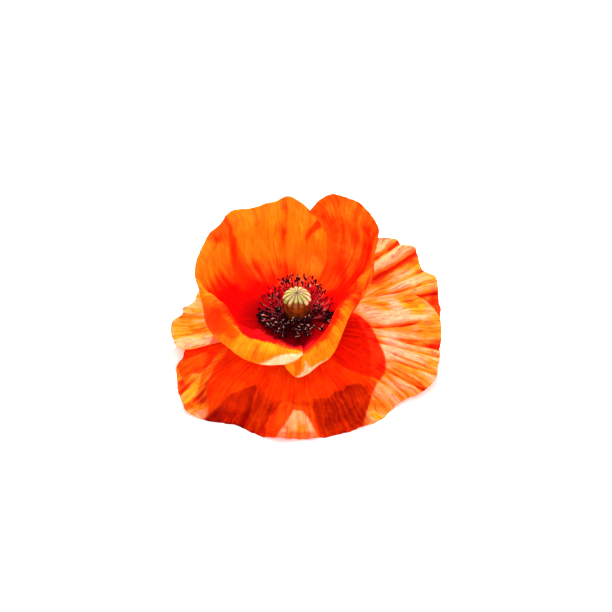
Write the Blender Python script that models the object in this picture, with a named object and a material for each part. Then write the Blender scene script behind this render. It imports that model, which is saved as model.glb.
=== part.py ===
"""Poppy flower: four crumpled petals, a ring of stamens and a ribbed pistil on a short cut stem.

The flower is modelled in millimetres about its own axis, with the seat of its petals at the origin, and
then stood on the lowest lobes of its outer petals. Azimuth runs in degrees from +X (right) over +Y (back).
"""

import math
import random

import bpy
import numpy as np

MM = 0.001

# Driving sizes, in millimetres
PETAL_THICKNESS = 0.6
GAP = 0.3  # kept between neighbouring pieces that touch on a real flower
FLOOR_Z = -6.9  # the surface under the outer petals, measured from the seat
FEET_Z = -6.0  # a margin lower than this lies down on the surface
PRESSED = 0.3  # an underside this close to the surface is pressed flat on it
SEAT_RADIUS = 2.6  # where every petal's claw starts
INNER_SEAT_Z = 0.3
OUTER_SEAT_Z = -1.7
CLAW_SHARE = 0.78  # how much of its span a petal has at the claw
PETAL_TWIST = 0.5  # each petal lies this far below its neighbour at its first margin, above it at its last
RECEPTACLE_RADIUS = SEAT_RADIUS - GAP
RECEPTACLE_TOP_Z = 0.9
RECEPTACLE_FOOT_Z = -2.1
STEM_RADIUS = 1.15
STEM_END_Z = -6.2
CAPSULE_BASE_RADIUS = 2.1
CAPSULE_RADIUS = 3.6
CAPSULE_TOP_Z = 8.5
DISC_RADIUS = 3.95
DISC_RIM_Z = 9.3
DISC_DOME = 1.8
DISC_RAYS = 13
COLLAR_RADII = (3.25, 4.1)
COLLAR_HEIGHTS = (1.15, 1.95)
STAMEN_COUNT = 72
STAMEN_SIDES = 3
STAMEN_SEED = 7
FILAMENT_RADIUS = 0.24
ANTHER_RADIUS = 0.48
ANTHER_LENGTH = 1.7

# Mesh steps: columns across a petal and rows from claw to margin
INNER_GRID = (44, 13)
OUTER_GRID = (54, 10)

COLOURS = {
    "petal_inner_left": (0.95, 0.16, 0.01),
    "petal_inner_right": (0.90, 0.12, 0.01),
    "petal_outer_front": (0.88, 0.12, 0.02),
    "petal_outer_back": (0.92, 0.17, 0.04),
    "stamens": (0.05, 0.01, 0.02),
    "pistil": (0.62, 0.52, 0.24),
    "stem": (0.20, 0.30, 0.08),
}

# The inner petals stand up as a cup, with a front lip that rolls outwards.
# Each row: azimuth, ridge (radius, height), margin (radius, height)
INNER_LEFT = [
    (53, (19.6, 7.6), (21.6, 11.2)),
    (60, (20.2, 9.0), (22.2, 13.4)),
    (67, (21.4, 13.6), (23.0, 18.6)),
    (73, (21.4, 16.0), (22.8, 21.2)),
    (79, (20.6, 17.4), (21.6, 22.9)),
    (88, (19.7, 19.0), (20.6, 25.9)),
    (96, (19.5, 20.3), (20.6, 28.0)),
    (107, (19.8, 19.0), (21.0, 26.2)),
    (125, (20.9, 19.0), (22.1, 26.0)),
    (139, (22.6, 19.1), (24.4, 26.2)),
    (148, (23.0, 17.9), (24.4, 24.5)),
    (161, (24.3, 18.7), (25.7, 25.1)),
    (170, (25.2, 17.7), (26.8, 23.2)),
    (178, (25.5, 16.6), (27.3, 21.0)),
    (185, (25.1, 16.2), (27.1, 18.6)),
    (191, (24.3, 16.4), (26.6, 15.8)),
    (196, (23.4, 16.2), (26.4, 13.6)),
    (205, (22.3, 15.6), (26.0, 10.4)),
    (215, (21.2, 13.8), (25.4, 8.4)),
    (228, (20.5, 10.9), (24.7, 7.2)),
    (241, (17.8, 9.0), (23.2, 5.9)),
    (252, (16.1, 7.9), (21.2, 4.9)),
    (264, (15.6, 6.9), (20.2, 5.2)),
    (271, (15.4, 6.5), (19.2, 5.9)),
    (275, (14.8, 6.2), (17.9, 6.3)),
]
INNER_RIGHT = [
    (-102, (14.6, 3.2), (17.4, 2.2)),
    (-97, (16.0, 4.2), (19.9, 2.3)),
    (-90, (16.6, 5.0), (21.7, 1.6)),
    (-83, (16.4, 6.1), (21.8, 2.6)),
    (-75, (16.3, 8.0), (21.4, 5.0)),
    (-65, (16.6, 11.0), (21.8, 8.2)),
    (-56, (16.7, 14.2), (21.0, 13.4)),
    (-48, (16.4, 17.4), (20.0, 17.0)),
    (-38, (16.8, 20.0), (19.6, 20.0)),
    (-28, (18.0, 22.4), (19.8, 22.2)),
    (-18, (18.9, 24.0), (19.7, 23.7)),
    (-10, (19.6, 24.2), (20.4, 24.7)),
    (-2, (20.2, 23.0), (20.8, 26.0)),
    (8, (20.8, 21.8), (21.5, 27.1)),
    (17, (21.4, 21.4), (22.2, 28.4)),
    (24, (21.7, 22.0), (22.6, 30.0)),
    (33, (21.7, 22.9), (22.5, 31.4)),
    (45, (21.3, 23.2), (22.0, 31.7)),
    (55, (20.6, 23.1), (21.1, 31.4)),
    (65, (20.0, 22.3), (20.3, 30.5)),
    (73, (19.4, 20.6), (19.6, 27.8)),
    (80, (18.6, 16.4), (18.8, 22.4)),
]

# The outer petals spread flat and droop to the surface.
# Each row: azimuth, margin (radius, height), height of the flat part
OUTER_FRONT = [
    (-187, (23.0, -2.8), -2.3),
    (-181, (27.5, -3.2), -2.3),
    (-173, (30.4, -3.6), -2.3),
    (-167, (31.8, -3.9), -2.2),
    (-162, (33.4, -4.2), -2.0),
    (-158, (35.8, -4.6), -1.9),
    (-153, (37.3, -5.1), -1.8),
    (-147, (39.1, -5.7), -1.6),
    (-142, (39.7, -6.2), -1.5),
    (-137, (40.8, -6.5), -1.5),
    (-129, (38.9, -6.9), -1.5),
    (-119, (36.0, -6.8), -1.4),
    (-104, (37.0, -6.1), -1.4),
    (-94, (37.0, -5.9), -1.4),
    (-81, (36.7, -6.2), -1.4),
    (-71, (36.6, -6.8), -1.4),
    (-62, (37.0, -6.8), -1.4),
    (-53, (37.6, -6.7), -1.2),
    (-46, (37.4, -5.9), -1.1),
    (-41, (37.8, -5.2), -1.0),
    (-34, (40.3, -4.7), -0.9),
    (-27, (42.1, -4.1), -0.8),
    (-20, (41.4, -3.6), -0.7),
    (-13, (41.0, -3.1), -0.6),
    (-4, (40.6, -2.4), -0.5),
    (3, (40.2, -1.8), -0.4),
    (10, (38.0, -1.1), -0.4),
    (14, (36.0, -0.7), -0.4),
    (17, (33.4, -0.3), -0.3),
    (19.5, (27.0, -0.1), -0.2),
    (21, (20.0, 0.0), -0.2),
]
OUTER_BACK = [
    (-11, (22.0, -2.2), -1.9),
    (-8, (30.0, -3.0), -1.9),
    (-3, (37.0, -4.0), -1.9),
    (3, (40.4, -3.9), -1.8),
    (8, (41.4, -3.1), -1.7),
    (14, (41.8, -1.9), -1.6),
    (19, (42.6, -0.9), -1.5),
    (22.5, (43.0, -0.5), -1.4),
    (25, (41.6, -0.3), -1.3),
    (29, (41.2, 0.4), -1.2),
    (34, (42.4, 1.3), -1.0),
    (38, (43.0, 1.4), -0.9),
    (41, (40.9, 0.9), -0.9),
    (44.5, (41.5, 1.4), -0.9),
    (48, (40.3, 1.3), -0.9),
    (52, (38.2, 0.7), -1.0),
    (57, (37.8, -0.9), -1.1),
    (64, (37.6, -2.8), -1.2),
    (76, (37.6, -5.9), -1.4),
    (86, (36.8, -6.8), -1.5),
    (99, (36.8, -6.9), -1.5),
    (111, (36.2, -6.4), -1.5),
    (122, (35.0, -5.6), -1.4),
    (134, (33.4, -4.4), -1.2),
    (146, (31.0, -3.0), -1.0),
    (155, (30.0, -1.8), -0.8),
    (161, (30.4, -0.6), -0.7),
    (166, (30.2, -0.4), -0.7),
    (169, (31.4, -0.6), -0.7),
    (172, (32.8, -0.8), -0.7),
    (176, (32.6, -1.1), -0.7),
    (178.5, (34.8, -1.3), -0.7),
    (182, (35.6, -1.6), -0.8),
    (187, (35.4, -2.0), -0.9),
    (191, (35.0, -2.3), -0.9),
    (195, (33.8, -2.4), -1.0),
    (197.5, (31.0, -2.0), -1.0),
    (199, (25.0, -1.5), -1.0),
]

# How far a petal's last edge steps back below its margin: v, degrees
INNER_RIGHT_EDGE = [
    (0.0, 0.0), (0.2, -10.0), (0.3, -19.0), (0.43, -21.0), (0.6, -18.0),
    (0.75, -15.5), (0.85, -13.5), (0.92, -10.5), (0.97, -5.0), (1.0, 0.0),
]
STRAIGHT_EDGE = [(0.0, 0.0), (1.0, 0.0)]
EDGE_WIDTH = 40.0  # the part of the petal that steps back with its edge, in degrees

# Even waves that grow towards a margin: waves a full turn, height, power of growth, phase
INNER_LEFT_WAVES = [(9, 0.45, 2.0, 0.6), (17, 0.16, 2.5, 1.9)]
INNER_RIGHT_WAVES = [(8, 0.35, 2.0, 2.2), (15, 0.14, 2.5, 0.4)]
OUTER_FRONT_WAVES = [(11, 0.45, 1.6, 0.9), (19, 0.30, 2.2, 2.5)]
OUTER_BACK_WAVES = [(12, 0.45, 1.6, 3.6), (21, 0.28, 2.2, 0.2)]

# Single folds along a rib: azimuth, height, half width in degrees
INNER_LEFT_FOLDS = [(113, -0.6, 5.0), (150, -0.7, 5.0), (203, 0.5, 5.0)]
INNER_RIGHT_FOLDS = [(20, -0.5, 5.0), (48, 0.4, 5.0)]
OUTER_FRONT_FOLDS = [
    (-139, 1.1, 5.0), (-152, -0.7, 5.0), (-120, -0.8, 6.0), (-38, -0.6, 4.5), (-15, 0.5, 4.5),
]
OUTER_BACK_FOLDS = [
    (30, -0.8, 4.5), (40, 0.5, 4.5), (167, -0.8, 4.5), (120, 0.8, 6.0), (70, 0.6, 6.0),
]


def smoothstep(x):
    x = np.clip(x, 0.0, 1.0)
    return x * x * (3 - 2 * x)


def through_points(x, xs, ys):
    """A smooth curve through the points (xs, ys), read at x. A point may hold several values."""
    xs = np.asarray(xs, float)
    ys = np.asarray(ys, float)
    x = np.clip(np.asarray(x, float), xs[0], xs[-1])
    slopes = np.gradient(ys, xs, axis=0)
    i = np.clip(np.searchsorted(xs, x, side="right") - 1, 0, len(xs) - 2)
    span = xs[i + 1] - xs[i]
    t = (x - xs[i]) / span
    wide = (slice(None),) + (None,) * (ys.ndim - 1)
    t, span = t[wide], span[wide]
    return (
        (2 * t**3 - 3 * t**2 + 1) * ys[i]
        + (t**3 - 2 * t**2 + t) * span * slopes[i]
        + (3 * t**2 - 2 * t**3) * ys[i + 1]
        + (t**3 - t**2) * span * slopes[i + 1]
    )


def cup_rib(ridge, margin):
    """Stations of an inner petal's rib: claw, floor, wall, ridge, lip and margin."""
    (ridge_r, ridge_z), (margin_r, margin_z) = ridge, margin
    out, up = margin_r - ridge_r, margin_z - ridge_z
    belly = 0.12 * max(up, 0.0)
    return [
        (SEAT_RADIUS, INNER_SEAT_Z),
        (SEAT_RADIUS + 0.42 * (ridge_r - SEAT_RADIUS), INNER_SEAT_Z + 0.2 + 0.06 * ridge_z),
        (0.87 * ridge_r + belly, INNER_SEAT_Z + 0.42 * ridge_z),
        (ridge_r, ridge_z),
        (ridge_r + 0.5 * out - 0.16 * up, ridge_z + 0.5 * up + 0.16 * abs(out)),
        (margin_r, margin_z),
    ]


def skirt_rib(margin, flat_z):
    """Stations of an outer petal's rib: claw, rise, two on the flat part, droop and margin."""
    margin_r, margin_z = margin
    reach, drop = margin_r - SEAT_RADIUS, flat_z - margin_z
    lying = float(smoothstep((FEET_Z - margin_z) / (FEET_Z - FLOOR_Z)))
    return [
        (SEAT_RADIUS, OUTER_SEAT_Z),
        (SEAT_RADIUS + 0.20 * reach, OUTER_SEAT_Z + 0.7 * (flat_z - OUTER_SEAT_Z)),
        (SEAT_RADIUS + 0.45 * reach, flat_z),
        (SEAT_RADIUS + 0.70 * reach, flat_z - 0.24 * drop),
        (SEAT_RADIUS + 0.87 * reach, flat_z - (0.60 + 0.38 * lying) * drop),
        (margin_r, margin_z),
    ]


def petal_surface(azimuths, ribs, grid, last_edge):
    """Points of a petal's mid surface, one column a rib, with each column's azimuth and each row's v."""
    columns, rows = grid
    u = np.linspace(0.0, 1.0, columns + 1)
    v = np.linspace(0.0, 1.0, rows + 1)
    rim_azimuth = azimuths[0] + u * (azimuths[-1] - azimuths[0])
    stations = through_points(rim_azimuth, azimuths, np.array(ribs))
    centre = (azimuths[0] + azimuths[-1]) / 2
    spread = CLAW_SHARE + (1 - CLAW_SHARE) * smoothstep(v / 0.36)
    edge_shift = np.interp(v, *zip(*last_edge))
    points = np.zeros((columns + 1, rows + 1, 3))
    for i, profile in enumerate(stations):
        steps = np.linalg.norm(np.diff(profile, axis=0), axis=1)
        along = np.concatenate([[0.0], np.cumsum(steps)]) / steps.sum()
        r, z = through_points(v, along, profile).T
        shift = edge_shift * smoothstep(1 - (rim_azimuth[-1] - rim_azimuth[i]) / EDGE_WIDTH)
        azimuth = np.radians(centre + (rim_azimuth[i] - centre) * spread + shift)
        points[i] = np.stack([r * np.cos(azimuth), r * np.sin(azimuth), z], axis=1)
    twist = PETAL_TWIST * (2 * u - 1)[:, None] * smoothstep(v / 0.16)[None, :]
    twist = twist * smoothstep((0.8 - v) / 0.3)[None, :]
    return points + normals_of(points) * twist[..., None], rim_azimuth, v


def normals_of(points):
    """Unit normals of a grid of points, on the petal's upper side."""
    across, along = np.gradient(points, axis=0), np.gradient(points, axis=1)
    normal = np.cross(along, across)
    return normal / np.linalg.norm(normal, axis=2, keepdims=True)


def crumpled(points, azimuth, v, waves, folds):
    """The surface with its even waves and single folds, raised along its normals."""
    height = np.zeros(points.shape[:2])
    for cycles, size, power, phase in waves:
        wave = np.sin(np.radians(azimuth) * cycles + phase)
        height += size * wave[:, None] * v[None, :] ** power
    for middle, size, half_width in folds:
        fold = np.exp(-(((azimuth - middle) / half_width) ** 2))
        height += size * fold[:, None] * smoothstep((v - 0.25) / 0.5)[None, :]
    return points + normals_of(points) * height[..., None]


def blade_mesh(name, points):
    """A closed blade about a grid of points, both faces split into triangles alike."""
    half = normals_of(points) * PETAL_THICKNESS / 2
    upper, lower = points + half, points - half
    lower[..., 2] = np.where(lower[..., 2] < FLOOR_Z + PRESSED, FLOOR_Z, lower[..., 2])
    columns, rows = points.shape[0] - 1, points.shape[1] - 1
    below = (columns + 1) * (rows + 1)

    def at(i, j):
        return i * (rows + 1) + j

    faces = []
    for i in range(columns):
        for j in range(rows):
            a, b, c, d = at(i, j), at(i, j + 1), at(i + 1, j + 1), at(i + 1, j)
            halves = [(a, b, c), (a, c, d)] if (i + j) % 2 else [(a, b, d), (b, c, d)]
            faces += halves
            faces += [tuple(k + below for k in reversed(face)) for face in halves]
    ring = [at(i, 0) for i in range(columns)]
    ring += [at(columns, j) for j in range(rows)]
    ring += [at(i, rows) for i in range(columns, 0, -1)]
    ring += [at(0, j) for j in range(rows, 0, -1)]
    for a, b in zip(ring, ring[1:] + ring[:1]):
        faces += [(a, b, b + below), (a, b + below, a + below)]
    return mesh_from(name, np.concatenate([upper.reshape(-1, 3), lower.reshape(-1, 3)]), faces)


def mesh_from(name, points, faces):
    mesh = bpy.data.meshes.new(name)
    mesh.from_pydata([tuple(point) for point in np.asarray(points) * MM], [], faces)
    mesh.validate()
    return mesh


def tube_mesh(name, rings):
    """A closed tube through rings of points, each with the same number of points."""
    sides = len(rings[0])
    faces = [tuple(reversed(range(sides)))]
    for k in range(len(rings) - 1):
        for i in range(sides):
            j = (i + 1) % sides
            low, high = k * sides, (k + 1) * sides
            faces += [(low + i, low + j, high + j), (low + i, high + j, high + i)]
    faces.append(tuple((len(rings) - 1) * sides + i for i in range(sides)))
    return mesh_from(name, np.concatenate(rings), faces)


def turned_rings(profile, sides):
    """Rings of a turned shape, one for each (radius, height) of its profile from the foot up."""
    turn = np.linspace(0.0, 2 * math.pi, sides, endpoint=False)
    return [np.stack([r * np.cos(turn), r * np.sin(turn), np.full(sides, z)], axis=1) for r, z in profile]


def stem_mesh():
    """The receptacle, which carries the petals, and the short stem below it."""
    profile = [
        (STEM_RADIUS, STEM_END_Z),
        (STEM_RADIUS, RECEPTACLE_FOOT_Z - 1.6),
        (0.6 * RECEPTACLE_RADIUS, RECEPTACLE_FOOT_Z - 0.8),
        (RECEPTACLE_RADIUS, RECEPTACLE_FOOT_Z),
        (RECEPTACLE_RADIUS, RECEPTACLE_TOP_Z - 0.5),
        (CAPSULE_BASE_RADIUS, RECEPTACLE_TOP_Z),
    ]
    return tube_mesh("stem", turned_rings(profile, 20))


def pistil_mesh():
    """The capsule and, over it, the domed disc with a scallop between each two of its rays."""
    base_z = RECEPTACLE_TOP_Z + GAP
    body = [
        (CAPSULE_BASE_RADIUS, base_z),
        (0.8 * CAPSULE_RADIUS, base_z + 0.8),
        (0.93 * CAPSULE_RADIUS, base_z + 2.2),
        (CAPSULE_RADIUS, base_z + 4.2),
        (CAPSULE_RADIUS, CAPSULE_TOP_Z - 1.2),
        (0.94 * CAPSULE_RADIUS, CAPSULE_TOP_Z),
    ]
    sides = 4 * DISC_RAYS
    rings = turned_rings(body, sides)
    turn = np.linspace(0.0, 2 * math.pi, sides, endpoint=False)
    scallop = np.abs(np.sin(turn * DISC_RAYS / 2))
    for share, z, depth in [(0.98, DISC_RIM_Z - 0.45, 0.10), (1.0, DISC_RIM_Z, 0.10)]:
        r = DISC_RADIUS * (share - depth * (1 - scallop))
        rings.append(np.stack([r * np.cos(turn), r * np.sin(turn), z - 0.25 * scallop], axis=1))
    for share in (0.82, 0.55, 0.22):
        r = DISC_RADIUS * share
        z = DISC_RIM_Z + DISC_DOME * (1 - share**2) + 0.12 * scallop * share
        rings.append(np.stack([r * np.cos(turn), r * np.sin(turn), z], axis=1))
    return tube_mesh("pistil", rings)


def stamen_mesh(azimuth, root_r, reach, height):
    """One stamen: a thread that leaves the collar outwards, turns up and swells to its anther."""
    root_z = (COLLAR_HEIGHTS[0] + COLLAR_HEIGHTS[1]) / 2
    outwards = np.array([math.cos(azimuth), math.sin(azimuth), 0.0])
    up = np.array([0.0, 0.0, 1.0])
    root = outwards * root_r + up * root_z
    bend = outwards * (0.4 * root_r + 0.6 * reach) + up * (root_z + 0.45 * (height - root_z))
    tip = outwards * reach + up * height

    def along(t):
        return (1 - t) ** 2 * root + 2 * t * (1 - t) * bend + t**2 * tip

    neck = 1 - ANTHER_LENGTH / np.linalg.norm(tip - root)
    stations = [
        (0.0, FILAMENT_RADIUS),
        (0.5 * neck, FILAMENT_RADIUS),
        (neck, 0.8 * FILAMENT_RADIUS),
        (neck + 0.35 * (1 - neck), ANTHER_RADIUS),
        (neck + 0.75 * (1 - neck), 0.85 * ANTHER_RADIUS),
        (1.0, 0.4 * ANTHER_RADIUS),
    ]
    side = np.array([-math.sin(azimuth), math.cos(azimuth), 0.0])
    rings = []
    for t, radius in stations:
        direction = along(min(t + 0.02, 1.0)) - along(max(t - 0.02, 0.0))
        normal = np.cross(side, direction / np.linalg.norm(direction))
        turn = np.arange(STAMEN_SIDES) * 2 * math.pi / STAMEN_SIDES
        ring = along(t) + radius * (np.outer(np.cos(turn), side) - np.outer(np.sin(turn), normal))
        rings.append(ring)
    return tube_mesh("stamen", rings)


def collar_mesh():
    """The ring round the pistil's foot that every stamen grows from."""
    (inner, outer), (low, high) = COLLAR_RADII, COLLAR_HEIGHTS
    corners = [(inner, low), (outer, low), (outer, high), (inner, high)]
    turn = np.linspace(0.0, 2 * math.pi, 24, endpoint=False)
    points = [(r * math.cos(a), r * math.sin(a), z) for a in turn for r, z in corners]
    faces = []
    for k in range(len(turn)):
        here, there = 4 * k, 4 * ((k + 1) % len(turn))
        for i in range(4):
            j = (i + 1) % 4
            faces.append((here + i, there + i, there + j, here + j))
    return mesh_from("stamens", points, faces)


def stamen_meshes():
    """Stamens in three rings, low at the front and upright at the back."""
    draw = random.Random(STAMEN_SEED)
    meshes = []
    for k in range(STAMEN_COUNT):
        turn = 2 * math.pi * (k + 0.3 * draw.uniform(-1, 1)) / STAMEN_COUNT
        backward = math.sin(turn)
        ring = k % 3
        reach = 10.4 - 1.7 * ring - 0.8 * max(backward, 0.0) + draw.uniform(-0.5, 0.5)
        height = 6.3 + 2.6 * backward + 0.5 * ring + draw.uniform(-0.7, 0.7)
        meshes.append(stamen_mesh(turn, COLLAR_RADII[1] - 0.35, reach, height))
    return meshes


def join_stamens(collar):
    """Fuses all stamens with the collar they grow from."""
    loose = bpy.data.collections.new("loose_stamens")
    bpy.context.scene.collection.children.link(loose)
    for mesh in stamen_meshes():
        stamen = bpy.data.objects.new("stamen", mesh)
        stamen.parent = collar.parent
        loose.objects.link(stamen)
    union = collar.modifiers.new("union", "BOOLEAN")
    union.operation = "UNION"
    union.operand_type = "COLLECTION"
    union.collection = loose
    union.solver = "MANIFOLD"
    bpy.context.view_layer.update()
    evaluated = collar.evaluated_get(bpy.context.evaluated_depsgraph_get())
    joined = bpy.data.meshes.new_from_object(evaluated)
    collar.modifiers.clear()
    collar.data = joined
    for stamen in list(loose.objects):
        bpy.data.objects.remove(stamen)
    bpy.data.collections.remove(loose)


def material_for(name, roughness=0.6):
    material = bpy.data.materials.new(name)
    material.use_nodes = True
    shader = material.node_tree.nodes["Principled BSDF"]
    shader.inputs["Base Color"].default_value = (*COLOURS[name], 1.0)
    shader.inputs["Roughness"].default_value = roughness
    shader.inputs["Metallic"].default_value = 0.0
    return material


def add_node(name, mesh, flower):
    """One named sub-part, held by the flower's own empty."""
    mesh.materials.append(material_for(name))
    mesh.shade_smooth()
    node = bpy.data.objects.new(name, mesh)
    bpy.context.scene.collection.objects.link(node)
    node.parent = flower
    return node


def add_petal(name, azimuths, ribs, grid, last_edge, waves, folds, flower):
    points, azimuth, v = petal_surface(azimuths, ribs, grid, last_edge)
    points = crumpled(points, azimuth, v, waves, folds)
    points[..., 2] = np.maximum(points[..., 2], FLOOR_Z + PETAL_THICKNESS / 2)
    add_node(name, blade_mesh(name, points), flower)


def add_inner_petal(name, rows, last_edge, waves, folds, flower):
    ribs = [cup_rib(ridge, margin) for _, ridge, margin in rows]
    add_petal(name, [row[0] for row in rows], ribs, INNER_GRID, last_edge, waves, folds, flower)


def add_outer_petal(name, rows, waves, folds, flower):
    ribs = [skirt_rib(margin, flat_z) for _, margin, flat_z in rows]
    add_petal(name, [row[0] for row in rows], ribs, OUTER_GRID, STRAIGHT_EDGE, waves, folds, flower)


def stand(flower):
    """Moves the flower so that it stands on the ground, with the middle of its outline over the origin."""
    points = np.array([vertex.co[:] for node in flower.children for vertex in node.data.vertices])
    low, high = points.min(axis=0), points.max(axis=0)
    flower.location = (-(low[0] + high[0]) / 2, -(low[1] + high[1]) / 2, -low[2])


def main():
    for old in list(bpy.data.objects):
        bpy.data.objects.remove(old)
    flower = bpy.data.objects.new("flower", None)
    bpy.context.scene.collection.objects.link(flower)
    add_inner_petal("petal_inner_left", INNER_LEFT, STRAIGHT_EDGE, INNER_LEFT_WAVES,
                    INNER_LEFT_FOLDS, flower)
    add_inner_petal("petal_inner_right", INNER_RIGHT, INNER_RIGHT_EDGE, INNER_RIGHT_WAVES,
                    INNER_RIGHT_FOLDS, flower)
    add_outer_petal("petal_outer_front", OUTER_FRONT, OUTER_FRONT_WAVES, OUTER_FRONT_FOLDS, flower)
    add_outer_petal("petal_outer_back", OUTER_BACK, OUTER_BACK_WAVES, OUTER_BACK_FOLDS, flower)
    add_node("stem", stem_mesh(), flower)
    add_node("pistil", pistil_mesh(), flower)
    join_stamens(add_node("stamens", collar_mesh(), flower))
    stand(flower)


main()
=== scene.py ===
"""Looks of the poppy flower: fine crumpled petals, stamens with pollen, the rayed pistil and a hairy stem.

Shapes are worked out in millimetres about the flower's own axis, with the seat of its petals at the
origin, as in the part's source. Azimuth runs in degrees from +X (right) over +Y (back), and v along a
petal's rib from 0 at the claw to 1 at the margin.
"""

import math
import random

import bpy
import numpy as np
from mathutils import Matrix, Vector


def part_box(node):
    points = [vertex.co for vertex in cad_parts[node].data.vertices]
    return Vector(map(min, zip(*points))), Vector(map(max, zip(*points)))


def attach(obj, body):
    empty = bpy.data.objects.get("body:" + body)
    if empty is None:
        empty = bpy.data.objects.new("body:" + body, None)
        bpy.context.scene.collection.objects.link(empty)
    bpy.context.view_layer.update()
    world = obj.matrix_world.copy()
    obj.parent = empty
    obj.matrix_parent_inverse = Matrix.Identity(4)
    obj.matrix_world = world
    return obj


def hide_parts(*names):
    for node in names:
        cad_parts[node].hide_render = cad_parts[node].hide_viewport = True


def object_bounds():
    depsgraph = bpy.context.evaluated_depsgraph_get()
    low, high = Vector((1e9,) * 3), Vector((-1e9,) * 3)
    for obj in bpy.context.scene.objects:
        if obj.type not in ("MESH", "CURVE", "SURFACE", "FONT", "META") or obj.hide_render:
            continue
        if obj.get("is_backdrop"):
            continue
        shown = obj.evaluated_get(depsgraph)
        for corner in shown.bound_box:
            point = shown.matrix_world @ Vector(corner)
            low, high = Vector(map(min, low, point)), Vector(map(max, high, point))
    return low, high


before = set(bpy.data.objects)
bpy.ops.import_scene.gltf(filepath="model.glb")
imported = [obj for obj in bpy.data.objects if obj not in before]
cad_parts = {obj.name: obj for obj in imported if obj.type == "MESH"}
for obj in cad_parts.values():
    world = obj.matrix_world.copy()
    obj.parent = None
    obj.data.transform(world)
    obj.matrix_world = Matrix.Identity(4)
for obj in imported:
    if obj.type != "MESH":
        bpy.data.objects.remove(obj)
cad_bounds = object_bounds()

MM = 0.001

# Sizes in millimetres, and shares, that the solids have too
GAP = 0.3
FLOOR_Z = -6.9
FEET_Z = -6.0  # outer margins lower than this begin to lie on the surface
SEAT_RADIUS = 2.6
INNER_SEAT_Z = 0.3
OUTER_SEAT_Z = -1.7
CLAW_SHARE = 0.78  # share of a petal's azimuths that its claw takes up
CLAW_END = 0.36  # v at which the petal takes up all of them
PETAL_TWIST = 0.5  # how far a petal's first edge dips and its last edge lifts, to lap its neighbours
TWIST_RISE = 0.16  # v over which the twist sets in
TWIST_END = 0.8  # v at which it has gone
TWIST_FALL = 0.3  # v over which it goes
CUP_FLOOR = (0.42, 0.06)  # reach and height of an inner petal's floor, as shares of the ridge's
CUP_FLOOR_LIFT = 0.2
CUP_WALL = (0.87, 0.42)  # the same of its wall
CUP_BELLY = 0.12  # how much a tall lip pushes the wall out
CUP_LIP = (0.5, 0.16)  # where the lip lies between ridge and margin, and how far it bulges
SKIRT_REACHES = (0.20, 0.45, 0.70, 0.87)  # of an outer petal's rise, flat part and droop
SKIRT_RISE = 0.7  # share of the height from the seat to the flat part
SKIRT_SAG = 0.24  # share of the drop to the margin at the flat part's end
SKIRT_DROOP = 0.60  # the same at the droop
SKIRT_LYING = 0.38  # how much more a lobe droops that lies on the surface
FOLD_START = 0.25  # v at which the single folds begin
FOLD_RISE = 0.5  # v over which they grow
SOLID_HALF = 0.3  # half a solid petal's thickness, which its lowest parts lie on
RECEPTACLE_RADIUS = SEAT_RADIUS - GAP
RECEPTACLE_TOP_Z = 0.9
RECEPTACLE_FOOT_Z = -2.1
STEM_RADIUS = 1.15
STEM_END_Z = -6.2
CAPSULE_BASE_RADIUS = 2.1
CAPSULE_RADIUS = 3.6
CAPSULE_TOP_Z = 8.5
DISC_RADIUS = 3.95
DISC_RIM_Z = 9.3
DISC_DOME = 1.8
DISC_RAYS = 13
COLLAR_RADII = (3.25, 4.1)
COLLAR_HEIGHTS = (1.15, 1.95)

# Sizes of the petals' fine shapes
SHELL_THICKNESS = 0.16
NOTCHES = [(41, 0.35), (67, 0.35), (101, 0.2), (151, 0.1)]  # notches a full turn, share of the raggedness
FRILL = [(31, 0.10), (53, 0.08), (89, 0.05)]  # waves a full turn, height
FRILL_START = 0.86
CREASE_EASE = 0.14  # share of a rib over which a crease fades in and out
WRINKLE_STARTS = (0.12, 0.9)
WRINKLE_LENGTHS = (0.15, 0.45)
WRINKLES = {"sizes": (0.04, 0.16), "half_widths": (0.35, 0.9), "lean": 3.0}
THREADS = {"sizes": (0.02, 0.06), "half_widths": (0.2, 0.4), "lean": 1.5}
EDGE_WIDTH = 40.0  # degrees over which a petal steps back with its last edge
DEGREE_MM = 0.5  # about how wide one degree of a petal is
RIB_MM = 36.0  # about how long a rib is

# Stamens: low ones crowded at the front and the sides, high ones upright round the back
LOW_STAMENS = 210
LOW_ARC = (176, 364)
LOW_REACH = (4.6, 10.4)
LOW_DRAWN_IN = 1.6  # how much less they reach straight in front
LOW_TOP = 5.4  # height of the innermost tips
LOW_FALL = 0.72  # how much lower a tip is for each millimetre of reach
LOW_FOOT = 2.5  # height of the lowest tips
LOW_STRAY = (-0.6, 0.5)  # how far a tip's height strays
HORNS = (182, 352)  # azimuths of the crescent's two ends
HORN_REACH = (7.6, 11.0)
HORN_WIDTH = 5  # spread about each end, in degrees
HIGH_STAMENS = 150
HIGH_ARC = (-20, 220)  # its first azimuth and its width
HIGH_ROWS = 4
HIGH_REACH = 9.3
HIGH_REACH_STRAY = (-0.8, 0.6)
HIGH_DRAWN_IN = 0.3  # how much less they reach straight behind
HIGH_ROW_STEP = 1.2
HIGH_ROW_RISE = 0.35  # how much taller each row is than the next one outside it
HIGH_TOP = 4.8
HIGH_TOP_STRAY = (-1.8, 0.7)
HIGH_RISE = 3.3  # how much taller they are straight behind
STAMEN_SEED = 7
ROOT_INSET = 0.35
BEND_REACH = 0.6  # share of the reach at which a filament bends up
BEND_RISE = 0.42
BEND_ASIDE = 0.5
TIP_ASIDE = 0.6
CURVE_POINTS = 9
FILAMENT_RADIUS = 0.13
FILAMENT_TAPER = (1.15, 0.75)
FILAMENT_SIDES = 5
ANTHER_RADIUS = 0.32
ANTHER_LENGTH = 1.4
ANTHER_LENGTHS = (0.75, 1.15)  # how much shorter or longer than that they are
ANTHER_GIRTHS = (0.8, 1.1)  # how much slimmer or thicker
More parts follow.
